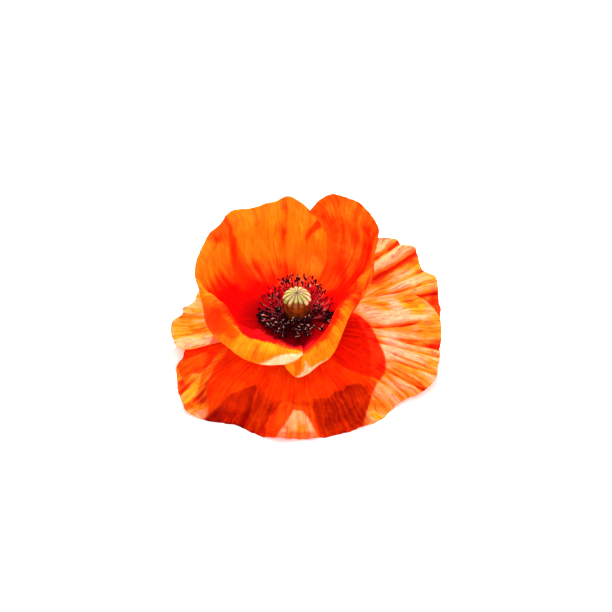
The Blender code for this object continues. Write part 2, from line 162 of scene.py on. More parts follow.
ANTHER_SPREADS = (1, 1, 0.6)  # spread of the ways they lean, less up and down than level
ANTHER_LEAN = 0.75  # how far they lean away from their filaments
ANTHER_SIDES = 10
ANTHER_LOBES = 0.22
ANTHER_BOW = 0.14
ANTHER_SWELL = np.array([0.35, 0.8, 1.0, 1.0, 0.94, 1.0, 1.0, 0.8, 0.35])  # its radius from end to end
YOUNG_SHARES = (0.4, 0.8)  # how slim the young anthers are
FLECK_RADIUS = 0.11
FLECK_LENGTHS = (0.7, 1.4)
FLECK_ASIDE = 0.3
FLECK_SIDES = 6
POLLEN_GRAINS = 700
POLLEN_RADII = (0.05, 0.10)
POLLEN_SEED = 23
COLLAR_SIDES = 96

# Pistil and stem
PISTIL_SIDES = 16 * DISC_RAYS
# front marks painted shade on the front of the disc's rim
PISTIL_FACTS = ("ray", "disc", "outward", "front")
CAPSULE_RINGS = 30
CAPSULE_RIB = 0.10
DISC_UNDERSIDE = [(0.97, 0.45, 0.3), (1.0, 0.2, 0.3)]  # share of the radius, drop, share of the top's look
DISC_TOP_RINGS = 34
DISC_LOBE = 0.13
DISC_BULGE = 0.34
RAY_HEIGHT = 0.10
RAY_WIDTHS = (0.08, 0.20)
RIM_DROOP = 0.42
STEM_SIDES = 64
STEM_RINGS = 40
STEM_RIBS = 9
STEM_RIB = 0.03
HAIRS = 90
HAIR_SEED = 5
HAIR_REACHES = (0.0, 0.5, 1.1)
HAIR_TIPS = (1.5, 2.2)
HAIR_RADII = (0.05, 0.04, 0.03, 0.008)
HAIR_SIDES = 4

# What a petal is made from. Its ribs, in rows. For an inner petal: azimuth, ridge (radius, height), margin
# (radius, height). For an outer petal: azimuth, margin (radius, height), height of the flat part.
# last_edge: how far its last edge steps back below the margin, as v, degrees
# ragged, frill: depth of the margin's notches as a share of a rib, share of the frill
# wrinkles, threads: how many fine wrinkles and how many finer ones
# waves: even waves that grow towards the margin, as waves a full turn, height, power of growth, phase
# folds: single folds along a rib, as azimuth, height, half width in degrees
# creases: azimuth and v where each starts, azimuth and v where it ends, height, half width in mm
# patches: paler (above 0) or deeper (below 0) than the rest, some of them painted light on fold ridges and
# painted shade under folds, as azimuth, v, half azimuth, half v, amount
# heart: where its scarlet heart ends, as azimuth, v
# areas: paint, much of it painted light and shade, as kind, width of the edge in mm, strength, outline in
# azimuth and v
# front, through: colours of the light sent back and let through, by level, which is 0 at the claw, 0.5 where
# the heart ends and 1 at the margin
# streaks, veins, lines, combed: strength of the streaks, the veins, the broad lines and the paint's streaks
# wobble: how far the streaks stray from a rib, in degrees
# vein, pale, pink: colours of the veins and of the pale flares, which are partly a painted sheen and are
# mottled with the last
# slot: which of the flower's materials it is
# rib, grid: which kind of rib it has, and how many faces lie across its ribs and along them
STRAIGHT_EDGE = [(0.0, 0.0), (1.0, 0.0)]

# The inner petals stand up as a cup, with a front lip that rolls outwards
INNER = {
    "slot": "petal_inner",
    "rib": "cup",
    "grid": (330, 130),
    "last_edge": STRAIGHT_EDGE,
    "ragged": 0.0015,
    "frill": 0.35,
    "wrinkles": 100,
    "threads": 140,
    "streaks": 0.5,
    "veins": 0.45,
    "lines": 0.25,
    "combed": 0.5,
    "wobble": 1.5,
    "vein": (0.80, 0.018, 0.002),
    "pale": (1.0, 0.42, 0.02),
    "pink": (1.0, 0.30, 0.012),
}
INNER_LEFT = {
    **INNER,
    "rows": [
        (53, (19.6, 7.6), (21.6, 11.2)), (60, (20.2, 9.0), (22.2, 13.4)), (67, (21.4, 13.6), (23.0, 18.6)),
        (73, (21.4, 15.6), (22.8, 20.1)), (79, (20.6, 16.9), (21.6, 21.3)), (88, (19.7, 19.0), (20.6, 25.9)),
        (96, (19.5, 20.3), (20.6, 28.0)), (107, (19.8, 19.0), (21.0, 26.2)),
        (125, (20.9, 19.0), (22.1, 26.0)), (139, (22.6, 19.1), (24.4, 26.2)),
        (148, (23.0, 17.9), (24.4, 24.5)), (161, (24.3, 18.7), (25.7, 25.1)),
        (170, (25.2, 17.7), (26.8, 23.2)), (178, (25.5, 16.6), (27.3, 21.0)),
        (185, (25.1, 16.2), (27.1, 18.6)), (191, (24.3, 16.4), (26.6, 15.8)),
        (196, (23.4, 16.2), (26.4, 13.6)), (205, (22.3, 15.6), (26.0, 10.4)),
        (215, (21.2, 13.8), (25.4, 8.4)), (228, (20.5, 10.9), (24.7, 7.2)), (241, (17.8, 9.0), (23.2, 5.9)),
        (252, (16.1, 7.9), (21.2, 4.9)), (264, (15.6, 6.9), (20.2, 5.2)), (271, (15.4, 6.5), (19.2, 5.9)),
        (275, (14.8, 6.2), (17.9, 6.3)),
    ],
    "waves": [(9, 0.45, 2.0, 0.6), (17, 0.16, 2.5, 1.9)],
    "folds": [(113, -0.6, 5.0), (150, -0.7, 5.0), (203, 0.5, 5.0)],
    "creases": [
        (102, 0.45, 99, 1.2, -0.24, 1.2), (149, 0.25, 139, 0.8, -0.3, 1.1), (138, 0.55, 145, 1.2, -0.3, 1.1),
        (226, 0.62, 222, 0.85, -0.3, 0.8), (246, 0.6, 252, 0.9, -0.25, 0.7),
        (178, 0.5, 175, 0.88, -0.26, 0.45), (172, 0.48, 168, 0.86, -0.3, 0.45),
        (166, 0.42, 162, 0.84, -0.28, 0.45), (160, 0.4, 156, 0.78, -0.28, 0.45),
        (130, 0.24, 128, 0.6, -0.24, 0.45), (118, 0.22, 117, 0.56, -0.22, 0.45),
    ],
    "patches": [
        (156, 0.93, 5.0, 0.06, -0.7), (100, 0.6, 4.0, 0.12, -0.3), (86, 0.74, 3.0, 0.1, 0.5),
        (74.5, 0.745, 2.5, 0.04, 1.0), (73, 0.57, 4.0, 0.04, -0.5), (71, 0.46, 5.0, 0.06, 1.0),
        (165, 0.8, 6.0, 0.1, 0.4), (206, 0.9, 12.0, 0.2, -0.9),
    ],
    "heart": [
        (53, 0.3), (66, 0.2), (80, 0.15), (90, 0.18), (100, 0.23), (118, 0.27), (136, 0.38), (146, 0.48),
        (155, 0.49), (162, 0.54), (180, 0.66), (198, 0.74), (215, 0.78), (262, 0.79), (268, 0.84),
        (272, 0.91), (275, 0.97),
    ],
    # Painted light on the lip, painted shade along folds and the seam, a painted highlight at the lip's tip,
    # and a dark basal blotch deepened by painted shade
    "areas": [
        ("gold_and_light", 2.6, 1.0, [
            (187, 1.1), (187, 0.99), (191, 0.93), (198, 0.86), (206, 0.81), (215, 0.78), (228, 0.79),
            (240, 0.75), (252, 0.755), (262, 0.785), (268, 0.82), (271, 0.87), (273, 0.93), (275, 0.965),
            (279, 0.985), (279, 1.1),
        ]),
        ("scarlet_and_shadow", 3.0, 0.6, [
            (147, 1.05), (143, 0.9), (138.5, 0.72), (137.5, 0.55), (140, 0.36), (156, 0.38), (147, 0.55),
            (143.5, 0.72), (147, 0.9), (151, 1.05),
        ]),
        ("scarlet_and_shadow", 1.0, 0.8, [
            (72, 0.95), (74.9, 0.93), (77.6, 0.873), (81.6, 0.765), (83.8, 0.655), (82.6, 0.645),
            (78.2, 0.75), (74.9, 0.805), (71.5, 0.85),
        ]),
        ("scarlet_and_shadow", 1.2, 0.75, [
            (142, 1.05), (141.5, 0.93), (139.8, 0.75), (139.4, 0.6), (142.8, 0.44), (148, 0.47), (144, 0.635),
            (144, 0.79), (144.8, 0.86), (145.5, 1.05),
        ]),
        ("scarlet_and_shadow", 1.5, 0.45, [
            (163, 1.1), (163, 0.99), (157.6, 0.9), (150, 0.83), (145, 0.79), (145, 0.9), (145.5, 1.1),
        ]),
        ("scarlet_and_shadow", 1.0, 0.6, [
            (198, 0.94), (200.7, 0.965), (206, 0.988), (209.4, 0.988), (212.8, 0.965), (216.1, 0.912),
            (218.8, 0.912), (221.5, 0.904), (223.5, 0.873), (225.6, 0.827), (224.2, 0.795), (220.8, 0.805),
            (214.8, 0.825), (209.4, 0.835), (204.7, 0.85), (202.7, 0.87), (200, 0.9),
        ]),
        ("cream_highlight", 1.8, 1.0, [
            (244, 1.0), (249, 0.94), (255, 0.89), (261, 0.865), (266, 0.87), (270, 0.91), (273, 0.96),
            (275.5, 0.985), (270, 0.985), (263, 0.985), (256, 1.0), (250, 1.02),
        ]),
        ("blotch_and_shade", 8.0, 1.0, [
            (196, 0.0), (200, 0.2), (225, 0.28), (246, 0.34), (250, 0.58), (256, 0.72), (279, 0.8),
            (279, 0.0),
        ]),
    ],
    "front": [
        (0.00, (0.16, 0.002, 0.008)), (0.18, (0.55, 0.002, 0.005)), (0.42, (0.95, 0.003, 0.003)),
        (0.52, (0.97, 0.020, 0.003)), (0.66, (0.97, 0.110, 0.004)), (1.00, (0.97, 0.170, 0.010)),
    ],
    "through": [
        (0.00, (0.30, 0.002, 0.004)), (0.42, (1.00, 0.003, 0.002)), (0.52, (1.00, 0.090, 0.004)),
        (0.66, (1.00, 0.370, 0.008)), (1.00, (1.00, 0.410, 0.016)),
    ],
}
INNER_RIGHT = {
    **INNER,
    "streaks": 0.8,
    "last_edge": [
        (0.0, 0.0), (0.2, -10.0), (0.3, -19.0), (0.43, -21.0), (0.6, -18.0), (0.75, -16.5), (0.85, -15.0),
        (0.92, -12.5), (0.97, -7.0), (1.0, 0.0),
    ],
    "rows": [
        (-102, (14.6, 3.2), (17.4, 2.2)), (-97, (16.0, 4.2), (19.9, 2.3)), (-90, (16.6, 5.0), (21.7, 1.6)),
        (-83, (16.4, 6.1), (21.8, 2.6)), (-75, (16.3, 8.0), (21.4, 5.0)), (-65, (16.6, 11.0), (21.8, 8.2)),
        (-56, (16.7, 14.2), (21.0, 13.4)), (-48, (16.4, 17.4), (20.0, 17.0)),
        (-38, (16.8, 20.0), (19.6, 20.0)), (-28, (18.0, 22.4), (19.8, 22.2)),
        (-18, (18.9, 24.0), (19.7, 23.7)), (-10, (19.6, 24.2), (20.4, 24.7)),
        (-2, (20.2, 23.0), (20.8, 26.0)), (8, (20.8, 21.8), (21.5, 27.1)), (17, (21.4, 21.4), (22.2, 28.4)),
        (24, (21.7, 22.0), (22.6, 30.0)), (33, (21.7, 22.9), (22.5, 31.4)), (45, (21.3, 23.2), (22.0, 31.7)),
        (55, (20.6, 23.1), (21.1, 31.4)), (65, (20.0, 22.3), (20.3, 30.5)), (73, (19.4, 20.6), (19.6, 27.8)),
        (80, (18.6, 17.2), (18.8, 24.0)),
    ],
    "waves": [(8, 0.35, 2.0, 2.2), (15, 0.14, 2.5, 0.4)],
    "folds": [(20, -0.5, 5.0), (48, 0.4, 5.0)],
    "creases": [
        (27, 0.3, 24, 0.9, -0.3, 0.7), (36, 0.3, 34, 1.2, 0.3, 0.9), (60, 0.4, 62, 1.2, -0.28, 0.8),
        (6, 0.35, 2, 0.9, -0.3, 0.8),
    ],
    "patches": [
        (77, 0.93, 3.0, 0.05, -0.6), (28, 0.6, 4.0, 0.3, -0.5), (12, 0.6, 5.0, 0.3, -0.5),
        (22, 0.88, 12.0, 0.2, -0.4), (-24, 0.95, 22.0, 0.2, -0.9), (-50, 0.84, 12.0, 0.05, -0.4),
    ],
    "heart": [
        (-102, 0.75), (-76, 0.78), (-60, 0.84), (-50, 0.88), (-38, 0.87), (-30, 0.82), (-10, 0.6), (10, 0.38),
        (30, 0.34), (45, 0.24), (80, 0.18),
    ],
    # Painted light on the lip, painted shade near the seam and in the lip's scroll, a painted highlight on
    # the scroll's rim, and a dark basal blotch deepened by painted shade
    "areas": [
        ("gold_and_light", 2.6, 1.0, [
            (-104, 1.1), (-104, 0.7), (-95, 0.7), (-84, 0.745), (-78, 0.775), (-72, 0.796), (-65, 0.812),
            (-60.4, 0.842), (-54.3, 0.885), (-49, 0.9), (-41, 0.905), (-29, 0.92), (-16, 0.955), (-6, 1.0),
            (-2, 1.1),
        ]),
        ("scarlet_and_shadow", 3.0, 0.5, [
            (81, 0.25), (81, 0.86), (72, 0.88), (60, 0.8), (52, 0.6), (50, 0.35), (60, 0.22),
        ]),
        ("cream_highlight", 1.0, 0.62, [
            (-92, 1.05), (-91.5, 0.99), (-88.5, 0.97), (-85.5, 0.935), (-83.5, 0.88), (-84, 0.83),
            (-82.5, 0.84), (-81.5, 0.9), (-80, 0.955), (-74, 0.978), (-68, 0.99), (-64, 1.05),
        ]),
        ("deep_shadow", 1.6, 0.45, [(-90, 0.94), (-87, 0.92), (-85.5, 0.86), (-87, 0.8), (-92, 0.86)]),
        ("blotch_and_shade", 5.0, 0.9, [
            (-104, 0.0), (-104, 0.64), (-92, 0.6), (-82, 0.42), (-72, 0.26), (-58, 0.14), (-40, 0.08),
            (-10, 0.0),
        ]),
    ],
    "front": [
        (0.00, (0.36, 0.002, 0.012)), (0.16, (0.84, 0.003, 0.012)), (0.45, (0.95, 0.012, 0.003)),
        (0.70, (0.96, 0.035, 0.003)), (1.00, (0.96, 0.090, 0.004)),
    ],
    "through": [
        (0.00, (0.60, 0.003, 0.012)), (0.30, (0.95, 0.020, 0.004)), (0.45, (1.00, 0.180, 0.004)),
        (0.75, (1.00, 0.180, 0.004)), (1.00, (1.00, 0.260, 0.008)),
    ],
}

# The outer petals spread flat and droop to the surface
OUTER = {
    "slot": "petal_outer",
    "rib": "skirt",
    "grid": (350, 120),
    "last_edge": STRAIGHT_EDGE,
    "ragged": 0.005,
    "frill": 0.9,
    "wrinkles": 150,
    "threads": 190,
    "streaks": 1.0,
    "veins": 0.48,
    "lines": 0.6,
    "combed": 1.0,
    "wobble": 6.0,
    "vein": (0.64, 0.022, 0.003),
    "pale": (1.0, 0.42, 0.20),
    "pink": (1.0, 0.30, 0.18),
    "heart": [(-190, 0.36), (200, 0.36)],
    "front": [
        (0.00, (0.40, 0.004, 0.006)), (0.40, (0.92, 0.030, 0.003)), (0.60, (0.97, 0.150, 0.005)),
        (1.00, (0.97, 0.200, 0.010)),
    ],
    "through": [(0.00, (0.50, 0.010, 0.010)), (0.45, (1.00, 0.200, 0.010)), (1.00, (1.00, 0.500, 0.025))],
}

# Where the outer front petal's shade begins, from its middle to its last edge: azimuth, v
SHADOW_LINE = [
    (-40.5, 0.762), (-36.9, 0.738), (-30.4, 0.654), (-24.5, 0.587), (-16.7, 0.529), (-6, 0.471), (1.1, 0.412),
    (8, 0.37), (22, 0.3), (22, 0.0),
]
OUTER_FRONT = {
    **OUTER,
    "rows": [
        (-187, (23.0, -2.8), -2.3), (-181, (27.5, -3.2), -2.3), (-173, (30.4, -3.6), -2.3),
        (-167, (31.8, -3.9), -2.2), (-162, (33.4, -4.2), -2.0), (-158, (35.8, -4.6), -1.9),
        (-153, (37.3, -5.1), -1.8), (-147, (39.1, -5.7), -1.6), (-142, (39.7, -6.2), -1.5),
        (-137, (40.8, -6.5), -1.5), (-129, (38.9, -6.9), -1.5), (-119, (36.0, -6.8), -1.4),
        (-104, (37.0, -6.1), -1.4), (-94, (37.0, -5.9), -1.4), (-81, (36.7, -6.2), -1.4),
        (-71, (36.6, -6.8), -1.4), (-62, (37.0, -6.8), -1.4), (-53, (37.6, -6.7), -1.2),
        (-46, (37.4, -5.9), -1.1), (-41, (37.8, -5.2), -1.0), (-34, (40.3, -4.7), -0.9),
        (-27, (42.1, -4.1), -0.8), (-20, (41.4, -3.6), -0.7), (-13, (41.0, -3.1), -0.6),
        (-4, (40.6, -2.4), -0.5), (3, (40.2, -1.8), -0.4), (10, (38.0, -1.1), -0.4), (14, (36.0, -0.7), -0.4),
        (17, (33.4, -0.3), -0.3), (19.5, (27.0, -0.1), -0.2), (21, (20.0, 0.0), -0.2),
    ],
    "waves": [(11, 0.45, 1.6, 0.9), (19, 0.3, 2.2, 2.5)],
    "folds": [(-139, 1.1, 5.0), (-152, -0.7, 5.0), (-120, -0.8, 6.0), (-38, -0.6, 4.5), (-15, 0.5, 4.5)],
    "creases": [
        (-9.5, 0.4, 1.0, 0.92, -0.55, 0.5), (-3, 0.55, 4, 0.98, 0.35, 0.9),
        (-20.5, 0.42, -14.5, 1.15, -0.5, 0.5), (-14, 0.62, -9.5, 1.2, -0.6, 0.7),
        (-28.5, 0.6, -22, 1.15, -0.5, 0.5), (-35, 0.62, -30, 1.2, -0.45, 0.5),
        (-41, 0.6, -39, 1.2, -0.35, 0.6), (-15.5, 0.47, -7.5, 1.05, -0.42, 0.32),
        (-24.5, 0.54, -22.3, 1.05, -0.42, 0.32), (-31.5, 0.62, -30.5, 1.05, -0.42, 0.32),
        (-36.5, 0.7, -38.2, 1.1, -0.42, 0.32), (-139.2, 0.72, -138, 1.02, -0.6, 0.4),
        (-136.3, 0.8, -134.5, 1.02, -0.4, 0.4), (-148, 0.74, -146, 1.1, -0.4, 0.4),
        (-144.5, 0.7, -142.5, 1.1, -0.4, 0.36), (8, 0.5, 10, 1.0, -0.3, 0.6), (-99, 0.55, -96, 1.2, 0.4, 1.2),
        (-82, 0.6, -84, 1.2, 0.35, 1.2),
    ],
    "patches": [
        (14, 0.64, 4, 0.05, -0.5), (9.4, 0.67, 4, 0.05, -0.5), (11, 0.86, 6, 0.08, -0.4),
        (2, 0.6, 7, 0.1, 0.7), (-2, 0.86, 5, 0.12, -0.5), (-8, 0.74, 4, 0.12, 0.5), (-12, 0.6, 5, 0.12, 0.6),
        (-22, 0.7, 4, 0.2, 0.5), (-90, 0.86, 5, 0.06, 0.3), (-145, 0.82, 9, 0.25, -0.3),
        (8, 0.76, 8, 0.05, 0.6), (-133.6, 0.97, 3, 0.06, 0.9), (-115, 0.95, 2, 0.12, -0.8),
        (-106, 0.97, 3, 0.08, -0.5), (-32, 0.58, 15, 0.15, 0.7), (-62, 0.62, 8, 0.15, -0.4),
        (-34, 0.88, 6, 0.1, 0.2), (-51, 0.94, 5, 0.08, -0.6), (-25, 0.7, 7, 0.12, 0.3),
        (0, 0.49, 5, 0.05, 0.7), (-7.5, 0.62, 2, 0.06, -0.7), (-33, 0.66, 6, 0.035, -0.8),
        (-21, 0.53, 7, 0.035, -0.8), (-8, 0.45, 7, 0.03, -0.8), (2, 0.385, 5, 0.03, -0.8),
    ],
    # Painted shadow of the cup and of the lobes, painted light on the lit band and a few yellow patches, and
    # painted deep shadow along the front margin
    "areas": [
        ("scarlet_and_shadow", 0.5, 1.0, [
            (-162, 0.0), (-156, 0.5), (-154.6, 0.546), (-149.9, 0.596), (-148.1, 0.646), (-142.7, 0.721),
            (-140.9, 0.754), (-135.6, 0.821), (-131.4, 0.921), (-130.2, 0.971), (-129.5, 1.1), (-98.7, 1.1),
            (-98.2, 0.996), (-92.2, 0.775), (-87.5, 0.775), (-84.6, 0.837), (-81.3, 0.985), (-80.9, 1.1),
            (-61.3, 1.1), (-60.7, 0.979), (-55.4, 0.879), (-49.4, 0.812), *SHADOW_LINE,
        ]),
        ("crimson_shadow", 0.5, 1.0, [*SHADOW_LINE, (-60, 0.0), (-52, 0.5)]),
        ("gold_and_light", 3.0, 0.6, [(16, 0.81), (15, 0.93), (8, 0.95), (5, 0.86), (8, 0.77)]),
        ("gold_and_light", 3.0, 0.5, [(18, 0.58), (20, 0.7), (14, 0.71), (8, 0.67), (7, 0.6), (13, 0.56)]),
        ("crimson_shadow", 1.5, 0.9, [(-14, 0.82), (-7.5, 0.97), (-7.5, 1.1), (-12.5, 1.1), (-12.5, 0.97)]),
        ("scarlet_and_shadow", 0.5, 1.0, [
            (-190, 0.0), (-161, 0.0), (-157, 0.52), (-157, 0.554), (-155.8, 0.613), (-151, 0.696),
            (-149.3, 0.746), (-148.7, 0.796), (-151, 0.863), (-151.6, 0.954), (-156.4, 0.988), (-162, 1.1),
            (-190, 1.1),
        ]),
        ("scarlet_and_shadow", 0.6, 0.9, [(-139.4, 0.945), (-137.4, 0.935), (-136.6, 0.955), (-138, 1.1), (-140, 1.1)]),
        ("gold_and_light", 1.5, 0.4, [
            (-155.5, 0.57), (-149.9, 0.63), (-143, 0.735), (-136, 0.84), (-133.5, 0.9), (-137, 1.1),
            (-150, 1.1), (-150, 0.9), (-147.5, 0.8), (-148.5, 0.74), (-151, 0.68), (-155, 0.6),
        ]),
        ("deep_shadow", 0.8, 0.95, [
            (-130.3, 0.975), (-130.2, 0.863), (-129.1, 0.804), (-127.9, 0.729), (-124.9, 0.704),
            (-122.5, 0.668), (-117.8, 0.618), (-115.8, 0.66), (-114.5, 0.85), (-113.5, 1.1), (-130, 1.1),
        ]),
        ("blotch_and_shade", 2.5, 0.45, [
            (-130.3, 0.99), (-130, 0.9), (-128, 0.84), (-125, 0.9), (-122, 1.1), (-130, 1.1),
        ]),
        ("blotch_and_shade", 0.8, 0.7, [(-130.5, 0.985), (-116, 0.985), (-108, 1.0), (-108, 1.1), (-130, 1.1)]),
        ("deep_shadow", 3.0, 0.62, [(-116, 0.63), (-104, 0.71), (-98.5, 0.76), (-99.5, 1.1), (-116, 1.1)]),
        ("deep_shadow", 0.8, 0.38, [
            (-114, 0.66), (-104, 0.7), (-92, 0.7), (-84, 0.7), (-80, 0.72), (-80.5, 1.1), (-80.9, 0.985),
            (-83.9, 0.837), (-87.5, 0.775), (-92.2, 0.775), (-98.2, 0.996), (-98.7, 1.1), (-114, 1.1),
        ]),
        ("scarlet_and_shadow", 1.0, 0.65, [(-99, 0.955), (-90, 0.94), (-80, 0.955), (-80, 1.1), (-99, 1.1)]),
        ("deep_shadow", 3.0, 0.7, [(-108, 0.74), (-101, 0.74), (-99, 0.9), (-101, 1.1), (-107, 1.1)]),
        ("deep_shadow", 0.8, 0.76, [
            (-80.5, 0.99), (-82, 0.8), (-80.5, 0.688), (-70.8, 0.688), (-67.3, 0.654), (-61.9, 0.668),
            (-58.9, 0.64), (-52, 0.66), (-48, 0.74), (-49, 0.81), (-55, 0.88), (-60.3, 0.979), (-61, 1.1),
            (-80, 1.1),
        ]),
    ],
}
OUTER_BACK = {
    **OUTER,
    "rows": [
        (-11, (22.0, -2.2), -1.9), (-8, (30.0, -3.0), -1.9), (-3, (37.0, -4.0), -1.9),
        (3, (40.4, -3.9), -1.8), (8, (41.4, -3.1), -1.7), (14, (41.8, -1.9), -1.6), (19, (42.6, -0.9), -1.5),
        (22.5, (43.0, -0.5), -1.4), (25, (41.6, -0.3), -1.3), (29, (41.2, 0.4), -1.2),
        (34, (42.4, 1.3), -1.0), (38, (43.0, 1.4), -0.9), (41, (40.9, 0.9), -0.9), (44.5, (41.5, 1.4), -0.9),
        (48, (40.3, 1.3), -0.9), (52, (38.2, 0.7), -1.0), (57, (37.8, -0.9), -1.1), (64, (37.6, -2.8), -1.2),
        (76, (37.6, -5.9), -1.4), (86, (36.8, -6.8), -1.5), (99, (36.8, -6.9), -1.5),
        (111, (36.2, -6.4), -1.5), (122, (35.0, -5.6), -1.4), (134, (33.4, -4.4), -1.2),
        (146, (31.0, -3.0), -1.0), (155, (30.0, -1.8), -0.8), (161, (30.4, -0.6), -0.7),
        (166, (30.2, -0.4), -0.7), (169, (31.4, -0.6), -0.7), (172, (32.8, -0.8), -0.7),
        (176, (32.6, -1.1), -0.7), (178.5, (34.8, -1.3), -0.7), (182, (35.6, -1.6), -0.8),
        (187, (35.4, -2.0), -0.9), (191, (35.0, -2.3), -0.9), (195, (33.8, -2.4), -1.0),
        (197.5, (31.0, -2.0), -1.0), (199, (25.0, -1.5), -1.0),
    ],
    "waves": [(12, 0.45, 1.6, 3.6), (21, 0.28, 2.2, 0.2)],
    "folds": [(30, -0.8, 4.5), (40, 0.5, 4.5), (167, -0.8, 4.5), (120, 0.8, 6.0), (70, 0.6, 6.0)],
    "creases": [
        (46.6, 0.62, 42.3, 1.15, -0.8, 0.8), (35.0, 0.5, 35.4, 1.25, -0.9, 0.9),
        (40.5, 0.6, 39.5, 1.25, 0.6, 1.2), (28, 0.6, 27, 1.2, -0.5, 0.7), (21.3, 0.52, 20.2, 1.0, -0.55, 0.5),
        (15.5, 0.62, 15, 1.15, -0.4, 0.6), (52, 0.6, 51, 1.2, -0.3, 0.6), (186, 0.55, 188, 1.2, -0.45, 0.8),
        (178, 0.55, 177, 1.2, -0.35, 0.7),
    ],
    "patches": [
        (32, 0.8, 2.2, 0.3, -0.4), (43, 0.93, 1.8, 0.14, -0.3), (39.5, 0.85, 2.0, 0.2, 0.9),
        (48.5, 0.95, 2.5, 0.14, 0.7), (24, 0.8, 3.0, 0.14, 0.6), (194, 0.88, 3, 0.2, 0.8),
        (184, 0.8, 6, 0.2, 0.3),
    ],
    # Painted shade on the drooping margin and under a fold, and painted light with yellow on the left lobe
    "areas": [
        ("crimson_shadow", 2.0, 0.8, [(17.5, 0.95), (12.5, 0.93), (8, 0.9), (2, 0.88), (2, 1.1), (16, 1.1)]),
        ("gold_and_light", 3.0, 0.4, [(180, 0.6), (193, 0.6), (193.5, 0.85), (190.5, 1.0), (189, 1.1), (180, 1.1)]),
        ("scarlet_and_shadow", 1.6, 0.12, [(35.4, 0.62), (35.6, 0.8), (35, 1.1), (31.5, 1.1), (32.5, 0.8), (33.5, 0.6)]),
    ],
}

# Colour of the veins in the painted crimson shadow
VEIN_IN_SHADOW = (0.46, 0.002, 0.001)

# Paint under the veins and paint over them, much of it painted light and shade: kind, deep colour, light
# colour, how broken its edge is
PAINTS = [
    # gold: painted light on the lips and on lobes in the sun, and a few yellow patches
    ("gold_and_light", (1.0, 0.16, 0.003), (1.0, 0.40, 0.010), 0.6),
    # scarlet: mostly painted shadow on the outer petals and painted shade along folds and seams, partly a
    # deeper red
    ("scarlet_and_shadow", (0.92, 0.024, 0.001), (0.98, 0.088, 0.001), 0.0),
    # crimson: painted shadow
    ("crimson_shadow", (0.86, 0.006, 0.001), (0.98, 0.022, 0.001), 0.0),
]
SHADES = [
    # cream: painted highlight on the rolled lips
    ("cream_highlight", (1.0, 0.56, 0.22), (1.0, 0.86, 0.60), 0.2),
    # dusk: painted deep shadow, and painted shade in the hollow of a lip's scroll
    ("deep_shadow", (0.40, 0.004, 0.001), (0.84, 0.030, 0.001), 0.25),
    # blotch: a dark blotch at the petals' base, deepened by painted shade in the cup's front and under the
    # stamens
    ("blotch_and_shade", (0.12, 0.0005, 0.003), (0.36, 0.001, 0.008), 0.0),
]
AREA_KINDS = [kind for kind, _, _, _ in PAINTS + SHADES]

# Noise on a petal: name, how fine, detail
BLOTS = [("mottle", 900.0, 3.0), ("clouds", 260.0, 2.0), ("drifts", 140.0, 2.0)]
# Noise drawn out along its ribs: name, width in degrees, length as a share of a rib
STREAKS = [("threads", 0.55, 0.20), ("bands", 1.7, 0.55), ("broad", 5.0, 0.50)]
# How much each kind of noise stirs a value, from trough to crest
TONE_NOISE = [("broad", 0.16), ("bands", 0.14)]
SHADE_NOISE = [("bands", 1.5), ("clouds", 1.6), ("drifts", 2.6), ("threads", 0.8)]
GRAIN_NOISE = [("bands", 2.2), ("threads", 0.9)]
GRAIN_CLOUDS = [("clouds", 1.6)]
EDGE_NOISE = [("threads", 0.8)]

# Where a petal's values begin and end to count
OUTWARD_LEVELS = (0.44, 0.60)
PALER_SHADES = (-0.25, 0.65)
DEEPER_SHADES = (-0.35, -1.1)
PINK_MOTTLE = (0.42, 0.60)
EDGE_MOTTLE = (0.38, 0.62)
VEIN_THREADS = (0.43, 0.36)
LINE_HALVES = (0.006, 0.030)
LINE_CLOUDS = (0.44, 0.54)
# Where the painted scarlet shadow counts as plain, away from the painted crimson shadow; the veins are calmed
# there
PLAIN_SHADOW = (0.3, 1.0)
PLAIN_VEINS = 0.3  # how much is left of the veins on plain scarlet
SHADOW_VEINS = 1.8  # how much stronger they are on crimson
# Painted light on a crease's ridge and painted shade in its groove
CREASE_SHADE = 2.0  # how much paler a crease's ridge is for each millimetre
MOTTLE_RELIEF = 0.35  # share of the mottle in the relief, beside the threads
PETAL_ROUGHNESS = 0.6
PETAL_SPECULAR = 0.008
LIT_THROUGH = 0.46  # share of the light that a petal lets through

# Relief of the skins: strength, depth in metres
PETAL_RELIEF = (0.6, 0.00012)
SPECKLED_RELIEF = (0.7, 0.0001)
FILAMENT_RELIEF = (0.4, 0.00005)
PISTIL_RELIEF = (0.5, 0.0001)
STEM_RELIEF = (0.5, 0.0001)

# Skins with specks: dark colour, colour of the specks, how fine, share of specks, roughness
SPECKLED = {
    "anther_skin": ((0.010, 0.001, 0.003), (0.10, 0.03, 0.03), 1500.0, 0.34, 0.85),
    "young_anther_skin": ((0.030, 0.001, 0.004), (0.30, 0.02, 0.03), 1500.0, 0.34, 0.85),
    # The flecks are pale rims of opened anthers that also stand for painted glints
    "fleck_and_glint_skin": ((0.20, 0.12, 0.07), (0.62, 0.46, 0.30), 1300.0, 0.55, 0.7),
    "pollen_grain": ((0.12, 0.07, 0.05), (0.45, 0.34, 0.22), 2600.0, 0.5, 0.7),
    "collar_skin": ((0.05, 0.004, 0.012), (0.2, 0.02, 0.03), 900.0, 0.4, 0.55),
    "stem_hair": ((0.22, 0.20, 0.10), (0.50, 0.46, 0.30), 1200.0, 0.5, 0.5),
}
SPECK_EDGE = 0.08
SKIN_LIFT = 2.2  # how much lighter the dark colour is where it is lightest

